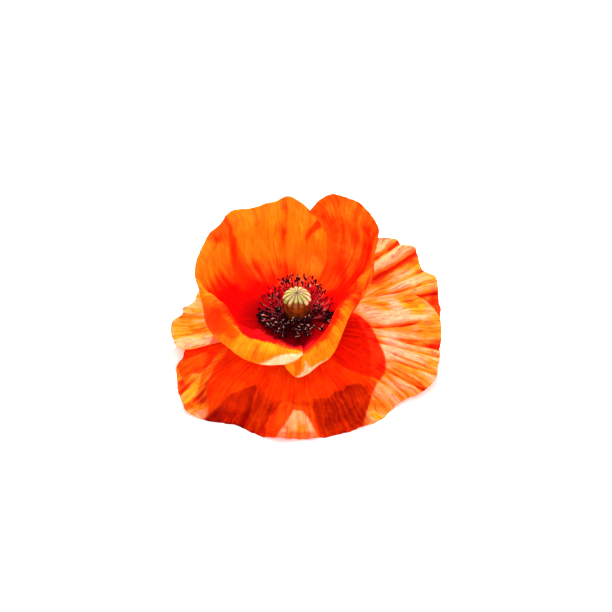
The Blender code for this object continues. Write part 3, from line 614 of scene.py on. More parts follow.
# Colours of the filaments by tone, of the capsule by its noise, and of the disc from middle to rim
FILAMENT_COLOURS = [
    (0.10, (0.030, 0.001, 0.004)),
    (0.40, (0.22, 0.001, 0.008)),
    (0.75, (0.72, 0.004, 0.025)),
    (1.00, (0.95, 0.14, 0.16)),
]
CAPSULE_COLOURS = [(0.3, (0.08, 0.013, 0.001)), (0.7, (0.24, 0.060, 0.003))]
WEDGE_COLOURS = [
    (0.15, (0.24, 0.12, 0.075)),
    (0.45, (0.26, 0.20, 0.085)),
    (0.72, (0.34, 0.30, 0.10)),
    (0.92, (0.72, 0.63, 0.33)),
    (1.00, (0.42, 0.26, 0.10)),
]
# Patches on the disc: where its noise begins and ends to count, colour
DISC_PATCHES = [((0.52, 0.70), (0.25, 0.29, 0.04)), ((0.42, 0.28), (0.40, 0.29, 0.16))]
# Painted shade on the front of the disc's rim, which faces away from the key light
DISC_FRONT_SHADE = (0.23, 0.070, 0.008)
RAY_COLOUR = (0.04, 0.015, 0.006)
RIND_COLOURS = [(0.3, (0.08, 0.14, 0.025)), (0.7, (0.22, 0.32, 0.08))]
# The stem's cut end, and painted shade on its top under the stamens: height in mm where each begins and ends
# to count, colour
STEM_CUT_AND_SHADED_TOP = [((0.25, 0.05), (0.52, 0.50, 0.24)), ((5.6, 6.4), (0.03, 0.006, 0.004))]

# Camera and light
VIEW_ELEVATION = 50
VIEW_DISTANCE = 0.404
LENS = 85
PICTURE_SIZE = 612
PICTURE_MIDDLE = 306
SEAT_PIXEL = (297, 319)  # where the flower's seat shows in the picture
SUNS = {  # elevation, azimuth from straight behind, strength, width, all angles in degrees
    "key": (43, -3, 9.0, 1.5),
    "fill": (60, 180, 1.6, 70),
}
SKY_COLOUR = (1.0, 0.99, 0.97, 1.0)
SKY_STRENGTH = 1.0
FLOOR_SIZE = 6.0
FLOOR_COLOUR = (0.94, 0.935, 0.925)

stem_low, stem_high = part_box("stem")  # the flower's axis is the stem's
SEAT = np.array([
    (stem_low[0] + stem_high[0]) / 2,
    (stem_low[1] + stem_high[1]) / 2,
    stem_high[2] - RECEPTACLE_TOP_Z * MM,
])


def smoothstep(x):
    """0 up to x = 0, 1 from x = 1 on, and a soft rise between them."""
    x = np.clip(x, 0.0, 1.0)
    return x * x * (3 - 2 * x)


def unit(vectors):
    """The same directions, each of length 1."""
    return vectors / np.linalg.norm(vectors, axis=-1, keepdims=True)


def turned(turn, r, z):
    """Points at radius r and height z, turned about the flower's axis."""
    return np.stack(np.broadcast_arrays(r * np.cos(turn), r * np.sin(turn), z), axis=-1)


def circle(sides):
    """Even angles round a full turn."""
    return np.linspace(0.0, math.tau, sides, endpoint=False)


def seeded_wave(angles, waves, seed):
    """Waves round the axis, each with a phase of its own, added up. waves: waves a full turn, height."""
    draw = random.Random(seed)
    turn, total = np.radians(angles), 0.0
    for cycles, size in waves:
        total = total + size * np.sin(turn * cycles + draw.uniform(0, math.tau))
    return total


def through_points(x, xs, ys):
    """A smooth curve through the points (xs, ys), read at x. A point may hold several values."""
    xs = np.asarray(xs, float)
    ys = np.asarray(ys, float)
    x = np.clip(np.asarray(x, float), xs[0], xs[-1])
    slopes = np.gradient(ys, xs, axis=0)
    i = np.clip(np.searchsorted(xs, x, side="right") - 1, 0, len(xs) - 2)
    span = xs[i + 1] - xs[i]
    t = (x - xs[i]) / span
    wide = (slice(None),) + (None,) * (ys.ndim - 1)
    t, span = t[wide], span[wide]
    return (
        (2 * t**3 - 3 * t**2 + 1) * ys[i]
        + (t**3 - 2 * t**2 + t) * span * slopes[i]
        + (3 * t**2 - 2 * t**3) * ys[i + 1]
        + (t**3 - t**2) * span * slopes[i + 1]
    )


def cup_rib(ridge, margin):
    """Stations of an inner petal's rib: claw, floor, wall, ridge, lip and margin."""
    (ridge_r, ridge_z), (margin_r, margin_z) = ridge, margin
    out, up = margin_r - ridge_r, margin_z - ridge_z
    floor_r = SEAT_RADIUS + CUP_FLOOR[0] * (ridge_r - SEAT_RADIUS)
    floor_z = INNER_SEAT_Z + CUP_FLOOR_LIFT + CUP_FLOOR[1] * ridge_z
    wall_r = CUP_WALL[0] * ridge_r + CUP_BELLY * max(up, 0.0)
    wall_z = INNER_SEAT_Z + CUP_WALL[1] * ridge_z
    way, bulge = CUP_LIP
    lip_r = ridge_r + way * out - bulge * up
    lip_z = ridge_z + way * up + bulge * abs(out)
    return [(SEAT_RADIUS, INNER_SEAT_Z), (floor_r, floor_z), (wall_r, wall_z), ridge, (lip_r, lip_z), margin]


def skirt_rib(margin, flat_z):
    """Stations of an outer petal's rib: claw, rise, two on the flat part, droop and margin."""
    margin_r, margin_z = margin
    drop = flat_z - margin_z
    lying = float(smoothstep((FEET_Z - margin_z) / (FEET_Z - FLOOR_Z)))
    heights = [
        OUTER_SEAT_Z + SKIRT_RISE * (flat_z - OUTER_SEAT_Z),
        flat_z,
        flat_z - SKIRT_SAG * drop,
        flat_z - (SKIRT_DROOP + SKIRT_LYING * lying) * drop,
    ]
    radii = [SEAT_RADIUS + share * (margin_r - SEAT_RADIUS) for share in SKIRT_REACHES]
    return [(SEAT_RADIUS, OUTER_SEAT_Z), *zip(radii, heights), margin]


def petal_surface(petal, seed):
    """Points of a petal's mid surface, with each column's azimuth and each row's v."""
    azimuths = [row[0] for row in petal["rows"]]
    rib = cup_rib if petal["rib"] == "cup" else skirt_rib
    ribs = np.array([rib(*row[1:]) for row in petal["rows"]])
    u, v = (np.linspace(0.0, 1.0, count + 1) for count in petal["grid"])
    rim_azimuth = azimuths[0] + u * (azimuths[-1] - azimuths[0])
    depth = sum(size for _, size in NOTCHES)
    short = petal["ragged"] * (depth + seeded_wave(rim_azimuth, NOTCHES, seed))
    centre = (azimuths[0] + azimuths[-1]) / 2
    spread = CLAW_SHARE + (1 - CLAW_SHARE) * smoothstep(v / CLAW_END)
    last_edge = np.interp(v, *zip(*petal["last_edge"]))
    points = []
    for azimuth, missing, profile in zip(rim_azimuth, short, through_points(rim_azimuth, azimuths, ribs)):
        steps = np.linalg.norm(np.diff(profile, axis=0), axis=1)
        along = np.concatenate([[0.0], np.cumsum(steps)]) / steps.sum()
        r, z = through_points(v * (1 - missing), along, profile).T
        shift = last_edge * smoothstep(1 - (rim_azimuth[-1] - azimuth) / EDGE_WIDTH)
        points.append(turned(np.radians(centre + (azimuth - centre) * spread + shift), r, z))
    points = np.array(points)
    twist = PETAL_TWIST * smoothstep(v / TWIST_RISE) * smoothstep((TWIST_END - v) / TWIST_FALL)
    return points + normals_of(points) * np.outer(2 * u - 1, twist)[..., None], rim_azimuth, v


def normals_of(points):
    """Unit normals of a grid of points, on the petal's upper side."""
    across, along = np.gradient(points, axis=0), np.gradient(points, axis=1)
    return unit(np.cross(along, across))


def fold_heights(azimuth, v, waves, folds):
    """The even waves and single folds, as on the solid petal."""
    height = np.zeros((len(azimuth), len(v)))
    for cycles, size, power, phase in waves:
        height += size * np.outer(np.sin(np.radians(azimuth) * cycles + phase), v**power)
    for middle, size, half_width in folds:
        fold = np.exp(-(((azimuth - middle) / half_width) ** 2))
        height += size * np.outer(fold, smoothstep((v - FOLD_START) / FOLD_RISE))
    return height


def crease_heights(points, azimuth, v, creases):
    """Narrow creases that run from one (azimuth, v) to another and fade at their ends."""
    radius = np.hypot(points[..., 0], points[..., 1])
    height = np.zeros(radius.shape)
    for start, start_v, end, end_v, size, half_width in creases:
        middle = start + (end - start) * np.clip((v - start_v) / (end_v - start_v), 0.0, 1.0)
        aside = np.radians(azimuth[:, None] - middle[None, :]) * radius
        fade = smoothstep((v - start_v) / CREASE_EASE) * smoothstep((end_v - v) / CREASE_EASE)
        height += size * np.exp(-((aside / half_width) ** 2)) * fade[None, :]
    return height


def seeded_creases(seed, count, azimuths, sizes, half_widths, lean):
    """Fine wrinkles like those of a petal that was folded up in its bud."""
    draw = random.Random(seed)
    creases = []
    for _ in range(count):
        start = draw.uniform(azimuths[0], azimuths[-1])
        start_v = draw.uniform(*WRINKLE_STARTS)
        end_v = start_v + draw.uniform(*WRINKLE_LENGTHS)
        size = draw.choice((-1, 1)) * draw.uniform(*sizes) * (0.4 + 0.6 * start_v)
        end = start + draw.gauss(0, lean)
        creases.append((start, start_v, end, end_v, size, draw.uniform(*half_widths)))
    return creases


def frill_heights(azimuth, v, seed):
    """Small quick waves in the last few millimetres before the margin."""
    return np.outer(seeded_wave(azimuth, FRILL, seed), smoothstep((v - FRILL_START) / (1 - FRILL_START)))


def patch_values(azimuth, v, patches):
    """Soft patches over a petal, above 0 where it is paler and below 0 where it is deeper."""
    value = np.zeros((len(azimuth), len(v)))
    for middle, middle_v, half_azimuth, half_v, amount in patches:
        aside = np.exp(-(((azimuth - middle) / half_azimuth) ** 2))
        along = np.exp(-(((v - middle_v) / half_v) ** 2))
        value += amount * np.outer(aside, along)
    return value


def heart_levels(azimuth, v, heart):
    """0 at the claw, 0.5 where the petal's heart ends and 1 at its margin."""
    ends = np.interp(azimuth, *zip(*heart))[:, None]
    return np.where(v < ends, 0.5 * v / ends, 0.5 + 0.5 * (v - ends) / (1 - ends))


def inside_outline(azimuth, v, outline, edge_width):
    """1 inside an outline on the petal and 0 outside it, with an edge that many millimetres wide."""
    scale = np.array([DEGREE_MM, RIB_MM])
    places = np.stack(np.meshgrid(azimuth, v, indexing="ij"), axis=-1) * scale
    corners = np.array(outline) * scale
    nearest = np.full(places.shape[:2], np.inf)
    odd = np.zeros(places.shape[:2], bool)
    for start, end in zip(corners, np.roll(corners, -1, axis=0)):
        side = end - start
        t = np.clip((places - start) @ side / (side @ side), 0.0, 1.0)
        nearest = np.minimum(nearest, np.linalg.norm(places - start - t[..., None] * side, axis=-1))
        if side[1]:
            crossing = start[0] + (places[..., 1] - start[1]) * side[0] / side[1]
            odd ^= ((places[..., 1] < start[1]) != (places[..., 1] < end[1])) & (places[..., 0] < crossing)
    return smoothstep(0.5 + np.where(odd, nearest, -nearest) / edge_width)


def area_values(azimuth, v, areas):
    """How much each kind of paint covers a petal's points."""
    values = {kind: np.zeros((len(azimuth), len(v))) for kind in AREA_KINDS}
    for kind, edge_width, strength, outline in areas:
        cover = strength * inside_outline(azimuth, v, outline, edge_width)
        values[kind] = np.maximum(values[kind], cover)
    return values


def lowered_to_floor(points):
    """The thin shell's lowest parts lie on the surface, as the thicker solid's do."""
    z = points[..., 2]
    low, high = FLOOR_Z + SOLID_HALF, FLOOR_Z + 5 * SOLID_HALF
    foot = FLOOR_Z + SHELL_THICKNESS / 2
    pressed = foot + (z - low) * (high - foot) / (high - low)
    points[..., 2] = np.where(z < high, np.maximum(pressed, foot), z)
    return points


def shell_mesh(name, points, facts):
    """A thin closed shell about a grid of points. facts are values at the points that the material reads."""
    half = normals_of(points) * SHELL_THICKNESS / 2
    upper, lower = points + half, points - half
    lower[..., 2] = np.maximum(lower[..., 2], FLOOR_Z)
    below = upper[..., 0].size
    index = np.arange(below).reshape(points.shape[:2])
    quads = np.stack([index[:-1, :-1], index[:-1, 1:], index[1:, 1:], index[1:, :-1]], axis=-1).reshape(-1, 4)
    ring = np.concatenate([index[:-1, 0], index[-1, :-1], index[:0:-1, -1], index[0, :0:-1]])
    onward = np.roll(ring, -1)
    rim = np.stack([ring, onward, onward + below, ring + below], axis=-1)
    faces = np.concatenate([quads, quads[:, ::-1] + below, rim])
    mesh = mesh_from(name, np.concatenate([upper.reshape(-1, 3), lower.reshape(-1, 3)]), faces.tolist())
    for fact, values in facts.items():
        set_fact(mesh, fact, np.tile(values.reshape(-1), 2))
    return mesh


def mesh_from(name, points, faces):
    """A mesh placed in the frame from points in the flower's millimetres."""
    mesh = bpy.data.meshes.new(name)
    mesh.from_pydata((np.asarray(points) * MM + SEAT).tolist(), [], faces)
    mesh.update()
    return mesh


def set_fact(mesh, name, values):
    """A named number at each of a mesh's points."""
    fact = mesh.attributes.new(name, "FLOAT", "POINT")
    fact.data.foreach_set("value", np.asarray(values, np.float32))


def add_piece(name, mesh, material, node, slot):
    """A piece that stands for a solid and rides on the flower's one body."""
    mesh.materials.append(material)
    mesh.shade_smooth()
    piece = bpy.data.objects.new(name, mesh)
    bpy.context.scene.collection.objects.link(piece)
    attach(piece, "root")
    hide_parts(node)


def add(tree, kind, inputs=None, **settings):
    """A shader node. Each input is a value or another node's socket."""
    node = tree.nodes.new("ShaderNode" + kind)
    for setting, value in settings.items():
        setattr(node, setting, value)
    for key, value in (inputs or {}).items():
        if isinstance(value, bpy.types.NodeSocket):
            tree.links.new(value, node.inputs[key])
        else:
            node.inputs[key].default_value = value
    return node


def new_tree(name):
    """An empty material, and the object's own places for its noise."""
    material = bpy.data.materials.new(name)
    material.use_nodes = True
    tree = material.node_tree
    tree.nodes.clear()
    return material, tree, add(tree, "TexCoord").outputs["Object"]


def surfaced(material, surface):
    """The material with that surface."""
    add(material.node_tree, "OutputMaterial", {"Surface": surface})
    return material


def fact_of(tree, name):
    return add(tree, "Attribute", attribute_name=name).outputs["Fac"]


def maths(tree, operation, a, b=0.0):
    return add(tree, "Math", {0: a, 1: b}, operation=operation).outputs[0]


def plus(tree, a, b):
    return maths(tree, "ADD", a, b)


def times(tree, a, b):
    return maths(tree, "MULTIPLY", a, b)


def spread_over(tree, value, low, high, to_low=0.0, to_high=1.0):
    """value from low to high becomes to_low to to_high, and stops there."""
    return add(tree, "MapRange", {0: value, 1: low, 2: high, 3: to_low, 4: to_high}).outputs[0]


def blended(tree, share, a, b):
    """Colour a turning into colour b as share goes from 0 to 1."""
    a, b = (colour if isinstance(colour, bpy.types.NodeSocket) else (*colour, 1.0) for colour in (a, b))
    return add(tree, "Mix", {0: share, 6: a, 7: b}, data_type="RGBA").outputs[2]


def ramp(tree, value, stops):
    """Colours along a value. Each stop: position, colour."""
    node = add(tree, "ValToRGB", {0: value})
    node.color_ramp.interpolation = "EASE"
    elements = node.color_ramp.elements
    for _ in stops[2:]:
        elements.new(0.5)
    for element, (position, colour) in zip(elements, stops):
        element.position = position
        element.color = (*colour, 1.0)
    return node.outputs["Color"]


def noise(tree, place, scale, detail=2.0):
    return add(tree, "TexNoise", {"Vector": place, "Scale": scale, "Detail": detail}).outputs["Fac"]


def streaks(tree, azimuth, v, seed, width, length):
    """Noise drawn out along the ribs. width is in degrees, length a share of a rib."""
    across, along = maths(tree, "DIVIDE", azimuth, width), maths(tree, "DIVIDE", v, length)
    return noise(tree, add(tree, "CombineXYZ", {0: across, 1: along, 2: float(seed)}).outputs[0], 1.0)


def about(tree, value, wave, size):
    """value with a wave of 0 to 1 added, that many units from trough to crest."""
    return plus(tree, value, times(tree, maths(tree, "SUBTRACT", wave, 0.5), size))


def stirred(tree, value, waves, sizes, share=1.0):
    """value with several waves added. sizes: name of the wave, units from trough to crest."""
    for name, size in sizes:
        value = about(tree, value, waves[name], size * share)
    return value


def relief(tree, height, strength, depth):
    """Fine bumps, that many metres deep."""
    return add(tree, "Bump", {"Strength": strength, "Distance": depth, "Height": height}).outputs[0]


def skin(tree, colour, normal, roughness, specular):
    """A surface that lets no light through."""
    inputs = {"Base Color": colour, "Normal": normal, "Roughness": roughness, "Specular IOR Level": specular}
    return add(tree, "BsdfPrincipled", inputs).outputs[0]


def painted(tree, colours, paints, grain, edge):
    """Both of a petal's colours under its painted areas."""
    for kind, deep, light, broken in paints:
        cover = fact_of(tree, kind)
        if broken:
            cover = spread_over(tree, about(tree, cover, edge, broken), broken / 2, 1 - broken / 2)
        paint = blended(tree, grain, deep, light)
        colours = [blended(tree, cover, colour, paint) for colour in colours]
    return colours


def petal_waves(tree, place, petal, seed):
    """A petal's noise by name: blots, and streaks along ribs that the widest blots bend."""
    waves = {name: noise(tree, place, scale, detail) for name, scale, detail in BLOTS}
    azimuth = about(tree, fact_of(tree, "azimuth"), waves["drifts"], petal["wobble"])
    v = fact_of(tree, "v")
    for k, (name, width, length) in enumerate(STREAKS):
        waves[name] = streaks(tree, azimuth, v, seed + k, width, length)
    return waves


def petal_depth(tree, petal, waves, shade):
    """How much a petal's veins, broad lines and deep shades darken it; the deep shades hold painted shade in
    creases and under folds.
    """
    crimson_shadow = fact_of(tree, "crimson_shadow")
    veins = spread_over(tree, waves["threads"], *VEIN_THREADS, 0.0, petal["veins"])
    # Veins show stronger in the painted crimson shadow
    veins = times(tree, veins, spread_over(tree, crimson_shadow, 0.0, 1.0, 1.0, SHADOW_VEINS))
    lines = maths(tree, "ABSOLUTE", maths(tree, "SUBTRACT", waves["broad"], 0.5))
    lines = spread_over(tree, lines, *LINE_HALVES, petal["lines"], 0.0)
    lines = times(tree, lines, spread_over(tree, waves["clouds"], *LINE_CLOUDS))
    depth = maths(tree, "MAXIMUM", maths(tree, "MAXIMUM", veins, lines),
                  spread_over(tree, shade, *DEEPER_SHADES))
    # plain: painted scarlet shadow away from the painted crimson shadow
    plain = spread_over(tree, maths(tree, "SUBTRACT", fact_of(tree, "scarlet_and_shadow"), crimson_shadow), *PLAIN_SHADOW)
    return times(tree, depth, spread_over(tree, plain, 0.0, 1.0, 1.0, PLAIN_VEINS))


def petal_colours(tree, petal, waves):
    """The colour that a petal sends back and the one that it lets through."""
    level, patch = fact_of(tree, "level"), fact_of(tree, "patch")
    tone = stirred(tree, level, waves, TONE_NOISE)
    front, through = ramp(tree, tone, petal["front"]), ramp(tree, tone, petal["through"])
    # shade: painted shade in crease grooves and under folds and painted light on their ridges, from the
    # patches and creases, stirred by noise
    shade = plus(tree, patch, times(tree, fact_of(tree, "crease"), CREASE_SHADE))
    shade = stirred(tree, shade, waves, SHADE_NOISE, petal["streaks"])
    # paler: the pale flares, partly a painted sheen, outside the heart
    paler = times(tree, spread_over(tree, shade, *PALER_SHADES), spread_over(tree, level, *OUTWARD_LEVELS))
    pale = blended(tree, spread_over(tree, waves["mottle"], *PINK_MOTTLE), petal["pale"], petal["pink"])
    colours = blended(tree, paler, front, pale), through

    grain = stirred(tree, plus(tree, patch, 0.5), waves, GRAIN_NOISE, petal["combed"])
    grain = stirred(tree, grain, waves, GRAIN_CLOUDS)
    edge = spread_over(tree, stirred(tree, waves["mottle"], waves, EDGE_NOISE), *EDGE_MOTTLE)
    colours = painted(tree, colours, PAINTS, grain, edge)
    depth = petal_depth(tree, petal, waves, shade)
    # Veins are darker in the painted crimson shadow
    vein = blended(tree, fact_of(tree, "crimson_shadow"), petal["vein"], VEIN_IN_SHADOW)
    colours = [blended(tree, depth, colour, vein) for colour in colours]
    return painted(tree, colours, SHADES, grain, edge)


def petal_material(name, petal, seed):
    """Silky tissue with fine ribs that run from claw to margin, lit through from behind."""
    material, tree, place = new_tree(name)
    waves = petal_waves(tree, place, petal, seed)
    front, through = petal_colours(tree, petal, waves)
    height = plus(tree, waves["threads"], times(tree, waves["mottle"], MOTTLE_RELIEF))
    normal = relief(tree, height, *PETAL_RELIEF)
    sent_back = skin(tree, front, normal, PETAL_ROUGHNESS, PETAL_SPECULAR)
    let_through = add(tree, "BsdfTranslucent", {"Color": through, "Normal": normal}).outputs[0]
    tissue = add(tree, "MixShader", {0: LIT_THROUGH, 1: sent_back, 2: let_through})
    return surfaced(material, tissue.outputs[0])


def add_petal(name, petal, seed):
    """A petal's fine shell with its tissue."""
    points, azimuth, v = petal_surface(petal, seed)
    folds = fold_heights(azimuth, v, petal["waves"], petal["folds"])
    folded = points + normals_of(points) * folds[..., None]
    wrinkles = seeded_creases(seed + 1, petal["wrinkles"], azimuth, **WRINKLES)
    threads = seeded_creases(seed + 2, petal["threads"], azimuth, **THREADS)
    fine = crease_heights(folded, azimuth, v, petal["creases"] + wrinkles + threads)
    fine += petal["frill"] * frill_heights(azimuth, v, seed + 3)
    shaped = lowered_to_floor(folded + normals_of(folded) * fine[..., None])
    across, along = np.meshgrid(azimuth, v, indexing="ij")
    facts = {
        "azimuth": across,
        "v": along,
        "level": heart_levels(azimuth, v, petal["heart"]),
        "crease": fine,
        "patch": patch_values(azimuth, v, petal["patches"]),
        **area_values(azimuth, v, petal["areas"]),
    }
    material = petal_material(name + "_tissue", petal, seed)
    add_piece("fine_" + name, shell_mesh(name, shaped, facts), material, name, petal["slot"])


def add_petals():
    add_petal("petal_inner_left", INNER_LEFT, 110)
    add_petal("petal_inner_right", INNER_RIGHT, 120)
    add_petal("petal_outer_front", OUTER_FRONT, 130)
    add_petal("petal_outer_back", OUTER_BACK, 140)


def ring_faces(rings, sides):
    """Quads round a tube of rings, with its two ends closed."""
    faces = [tuple(reversed(range(sides)))]
    for k in range(rings - 1):
        low, high = k * sides, (k + 1) * sides
        for i in range(sides):
            j = (i + 1) % sides
            faces.append((low + i, low + j, high + j, high + i))
    faces.append(tuple((rings - 1) * sides + i for i in range(sides)))
    return faces


def tube_part(middles, radii, sides, lobes=0.0):
    """A closed tube along a curve. With lobes, its section has two lobes and a groove between them."""
    middles = np.asarray(middles, float)
    turn = circle(sides)
    shape = 1 + lobes * np.cos(2 * turn)
    heading = unit(np.gradient(middles, axis=0))
    helper = np.array([0.0, 0.0, 1.0]) if abs(heading[0][2]) < 0.8 else np.array([1.0, 0.0, 0.0])
    rings = []
    for middle, radius, direction in zip(middles, radii, heading):
        side = unit(np.cross(helper, direction))
        normal = np.cross(direction, side)
        ring = np.outer(np.cos(turn) * shape, side) + np.outer(np.sin(turn) * shape, normal)
        rings.append(middle + radius * ring)
    return np.concatenate(rings), ring_faces(len(rings), sides)


def gathered_mesh(name, parts, facts):
    """One mesh from (points, faces) parts, with a value for each part under each fact's name."""
    points, faces, count = [], [], 0
    for part_points, part_faces in parts:
        points.append(part_points)
        faces += [tuple(i + count for i in face) for face in part_faces]
        count += len(part_points)
    mesh = mesh_from(name, np.concatenate(points), faces)
    for fact, values in facts.items():
        set_fact(mesh, fact, np.repeat(values, [len(part_points) for part_points in points]))
    return mesh


def add_repeats(name, parts, material, node, facts=None):
    """One piece from many small parts."""
    add_piece(name, gathered_mesh(name, parts, facts or {}), material, node, node)


def stamen_curve(turn, reach, height, draw):
    """Points along one filament, from the collar outwards and up, with a slight bow aside."""
    root_r, root_z = COLLAR_RADII[1] - ROOT_INSET, sum(COLLAR_HEIGHTS) / 2
    aside = turned(turn + math.pi / 2, 1.0, 0.0)
    root = turned(turn, root_r, root_z)
    bend = turned(turn, root_r + BEND_REACH * (reach - root_r), root_z + BEND_RISE * (height - root_z))
    bend = bend + aside * draw.uniform(-BEND_ASIDE, BEND_ASIDE)
    tip = turned(turn, reach, height) + aside * draw.uniform(-TIP_ASIDE, TIP_ASIDE)
    t = np.linspace(0.0, 1.0, CURVE_POINTS)[:, None]
    return (1 - t) ** 2 * root + 2 * t * (1 - t) * bend + t**2 * tip


def low_stamen(k, draw):
    """A stamen of the front's dense crescent. Every third one is at one of its two wide ends."""
    turn = math.radians(draw.uniform(*LOW_ARC))
    frontward = max(-math.sin(turn), 0.0)
    reach = draw.uniform(LOW_REACH[0], LOW_REACH[1] - LOW_DRAWN_IN * frontward)
    if k % 3 == 0:
        turn = math.radians(draw.choice(HORNS) + draw.gauss(0, HORN_WIDTH))
        reach = draw.uniform(*HORN_REACH)
    height = max(LOW_TOP - LOW_FALL * (reach - LOW_REACH[0]), LOW_FOOT) + draw.uniform(*LOW_STRAY)
    return stamen_curve(turn, reach, height, draw)


def high_stamen(k, draw):
    """A stamen of the upright rows round the back, the inner rows taller than the outer ones."""
    first, width = HIGH_ARC
    turn = math.radians(first + width * (k + 0.5 * draw.uniform(-1, 1)) / HIGH_STAMENS)
    backward, row = math.sin(turn), k % HIGH_ROWS
    reach = HIGH_REACH - HIGH_ROW_STEP * row - HIGH_DRAWN_IN * backward + draw.uniform(*HIGH_REACH_STRAY)
    height = HIGH_TOP + HIGH_RISE * backward + HIGH_ROW_RISE * row + draw.uniform(*HIGH_TOP_STRAY)
    return stamen_curve(turn, reach, height, draw)


def anther_curve(tip, heading, length, draw):
    """A short bowed line through the filament's tip, turned at random about it."""
    lean = np.array([draw.gauss(0, spread) for spread in ANTHER_SPREADS])
    direction = unit(heading + ANTHER_LEAN * unit(lean))
    bow = ANTHER_BOW * length * unit(np.cross(direction, lean))
    t = np.linspace(-0.5, 0.5, len(ANTHER_SWELL))[:, None]
    return tip + direction * length * (t + 0.25) + bow * (1 - 4 * t**2)


def anther_part(curve, size, draw):
    """A two-lobed anther at the end of a filament's curve."""
    heading = unit(curve[-1] - curve[-2])
    middles = anther_curve(curve[-1], heading, ANTHER_LENGTH * draw.uniform(*ANTHER_LENGTHS), draw)
    radii = size * draw.uniform(*ANTHER_GIRTHS) * ANTHER_SWELL
    return tube_part(middles, radii, ANTHER_SIDES, ANTHER_LOBES)


def fleck_part(curve, draw):
    """The pale curled rim of an anther that has opened, which also stands for painted glints on the anthers.
    """
    aside = [draw.uniform(-FLECK_ASIDE, FLECK_ASIDE) for _ in range(2)]
    tip = curve[-1] + np.array([*aside, ANTHER_RADIUS])
    level = unit(np.array([draw.gauss(0, 1), draw.gauss(0, 1), 0.2]))
    middles = anther_curve(tip, level, draw.uniform(*FLECK_LENGTHS), draw)
    return tube_part(middles, FLECK_RADIUS * ANTHER_SWELL, FLECK_SIDES)


def grain_part(centre, size, draw):
    """A pollen grain with eight faces."""
    corners = [(1, 0, 0), (-1, 0, 0), (0, 1, 0), (0, -1, 0), (0, 0, 1), (0, 0, -1)]
    points = centre + size * np.array(corners, float) * draw.uniform(0.8, 1.2)
    faces = []
    for x, y, z in [(x, y, z) for x in (0, 1) for y in (2, 3) for z in (4, 5)]:
        faces.append((x, z, y) if (x + y + z) % 2 else (x, y, z))
    return points, faces


def pollen_parts(anthers):
    """Grains that cling to the anthers."""
    draw = random.Random(POLLEN_SEED)
    grains = []
    for _ in range(POLLEN_GRAINS):
        points, _ = draw.choice(anthers)
        centre = points[draw.randrange(len(points))]
        grains.append(grain_part(centre, draw.uniform(*POLLEN_RADII), draw))
    return grains


def speckled_skin(name):
    """Tissue with paler specks."""
    dark, light, scale, share, roughness = SPECKLED[name]
    material, tree, place = new_tree(name)
    specks = spread_over(tree, noise(tree, place, scale), 1.0 - share, 1.0 + SPECK_EDGE - share)
    tone = spread_over(tree, noise(tree, place, scale / 4), 0.3, 0.7)
    base = blended(tree, tone, dark, tuple(SKIN_LIFT * c for c in dark))
    normal = relief(tree, noise(tree, place, scale * 1.5), *SPECKLED_RELIEF)
    return surfaced(material, skin(tree, blended(tree, specks, base, light), normal, roughness, 0.03))


def filament_material():
    """Threads in every tone from a blackish purple to pink."""
    material, tree, place = new_tree("filament_thread")
    tone = plus(tree, fact_of(tree, "tone"), times(tree, noise(tree, place, 700.0), 0.25))
    normal = relief(tree, noise(tree, place, 4000.0), *FILAMENT_RELIEF)
    return surfaced(material, skin(tree, ramp(tree, tone, FILAMENT_COLOURS), normal, 0.7, 0.03))


def add_stamens():
    draw = random.Random(STAMEN_SEED)
    low = [low_stamen(k, draw) for k in range(LOW_STAMENS)]
    high = [high_stamen(k, draw) for k in range(HIGH_STAMENS)]
    radii = FILAMENT_RADIUS * np.linspace(*FILAMENT_TAPER, CURVE_POINTS)
    filaments = [tube_part(curve, radii, FILAMENT_SIDES) for curve in low + high]
    tones = [draw.uniform(0.0, 0.2) for _ in low] + [draw.triangular(0.3, 1.0, 0.75) for _ in high]
    anthers = [anther_part(curve, ANTHER_RADIUS, draw) for curve in low]
    young = [anther_part(curve, draw.uniform(*YOUNG_SHARES) * ANTHER_RADIUS, draw) for curve in high]
    # Pale rims of opened anthers, which also stand for painted glints on the anthers
    flecks = [fleck_part(curve, draw) for curve in low[1::3] + high[::9]]
    add_repeats("filaments", filaments, filament_material(), "stamens", {"tone": tones})
    add_repeats("anthers", anthers, speckled_skin("anther_skin"), "stamens")
    add_repeats("young_anthers", young, speckled_skin("young_anther_skin"), "stamens")
    add_repeats("anther_rims_and_glints", flecks, speckled_skin("fleck_and_glint_skin"), "stamens")
    add_repeats("pollen", pollen_parts(anthers + young), speckled_skin("pollen_grain"), "stamens")
    add_collar()


def add_collar():
    """The ring round the pistil's foot that the filaments grow from."""
    (inner, outer), (low, high) = COLLAR_RADII, COLLAR_HEIGHTS
    section = [
        (inner, low + 0.1), (inner + 0.1, low), (outer - 0.1, low), (outer, low + 0.15),
        (outer, high - 0.2), (outer - 0.2, high), (inner + 0.2, high), (inner, high - 0.2),
    ]
    radii, heights = np.array(section).T
    points = turned(circle(COLLAR_SIDES)[:, None], radii, heights)
    index = np.arange(points[..., 0].size).reshape(COLLAR_SIDES, len(section))
    there = np.roll(index, -1, axis=0)
    faces = np.stack([index, there, np.roll(there, -1, axis=1), np.roll(index, -1, axis=1)], axis=-1)
    mesh = mesh_from("stamen_collar", points.reshape(-1, 3), faces.reshape(-1, 4).tolist())
    add_piece("stamen_collar", mesh, speckled_skin("collar_skin"), "stamens", "stamens")


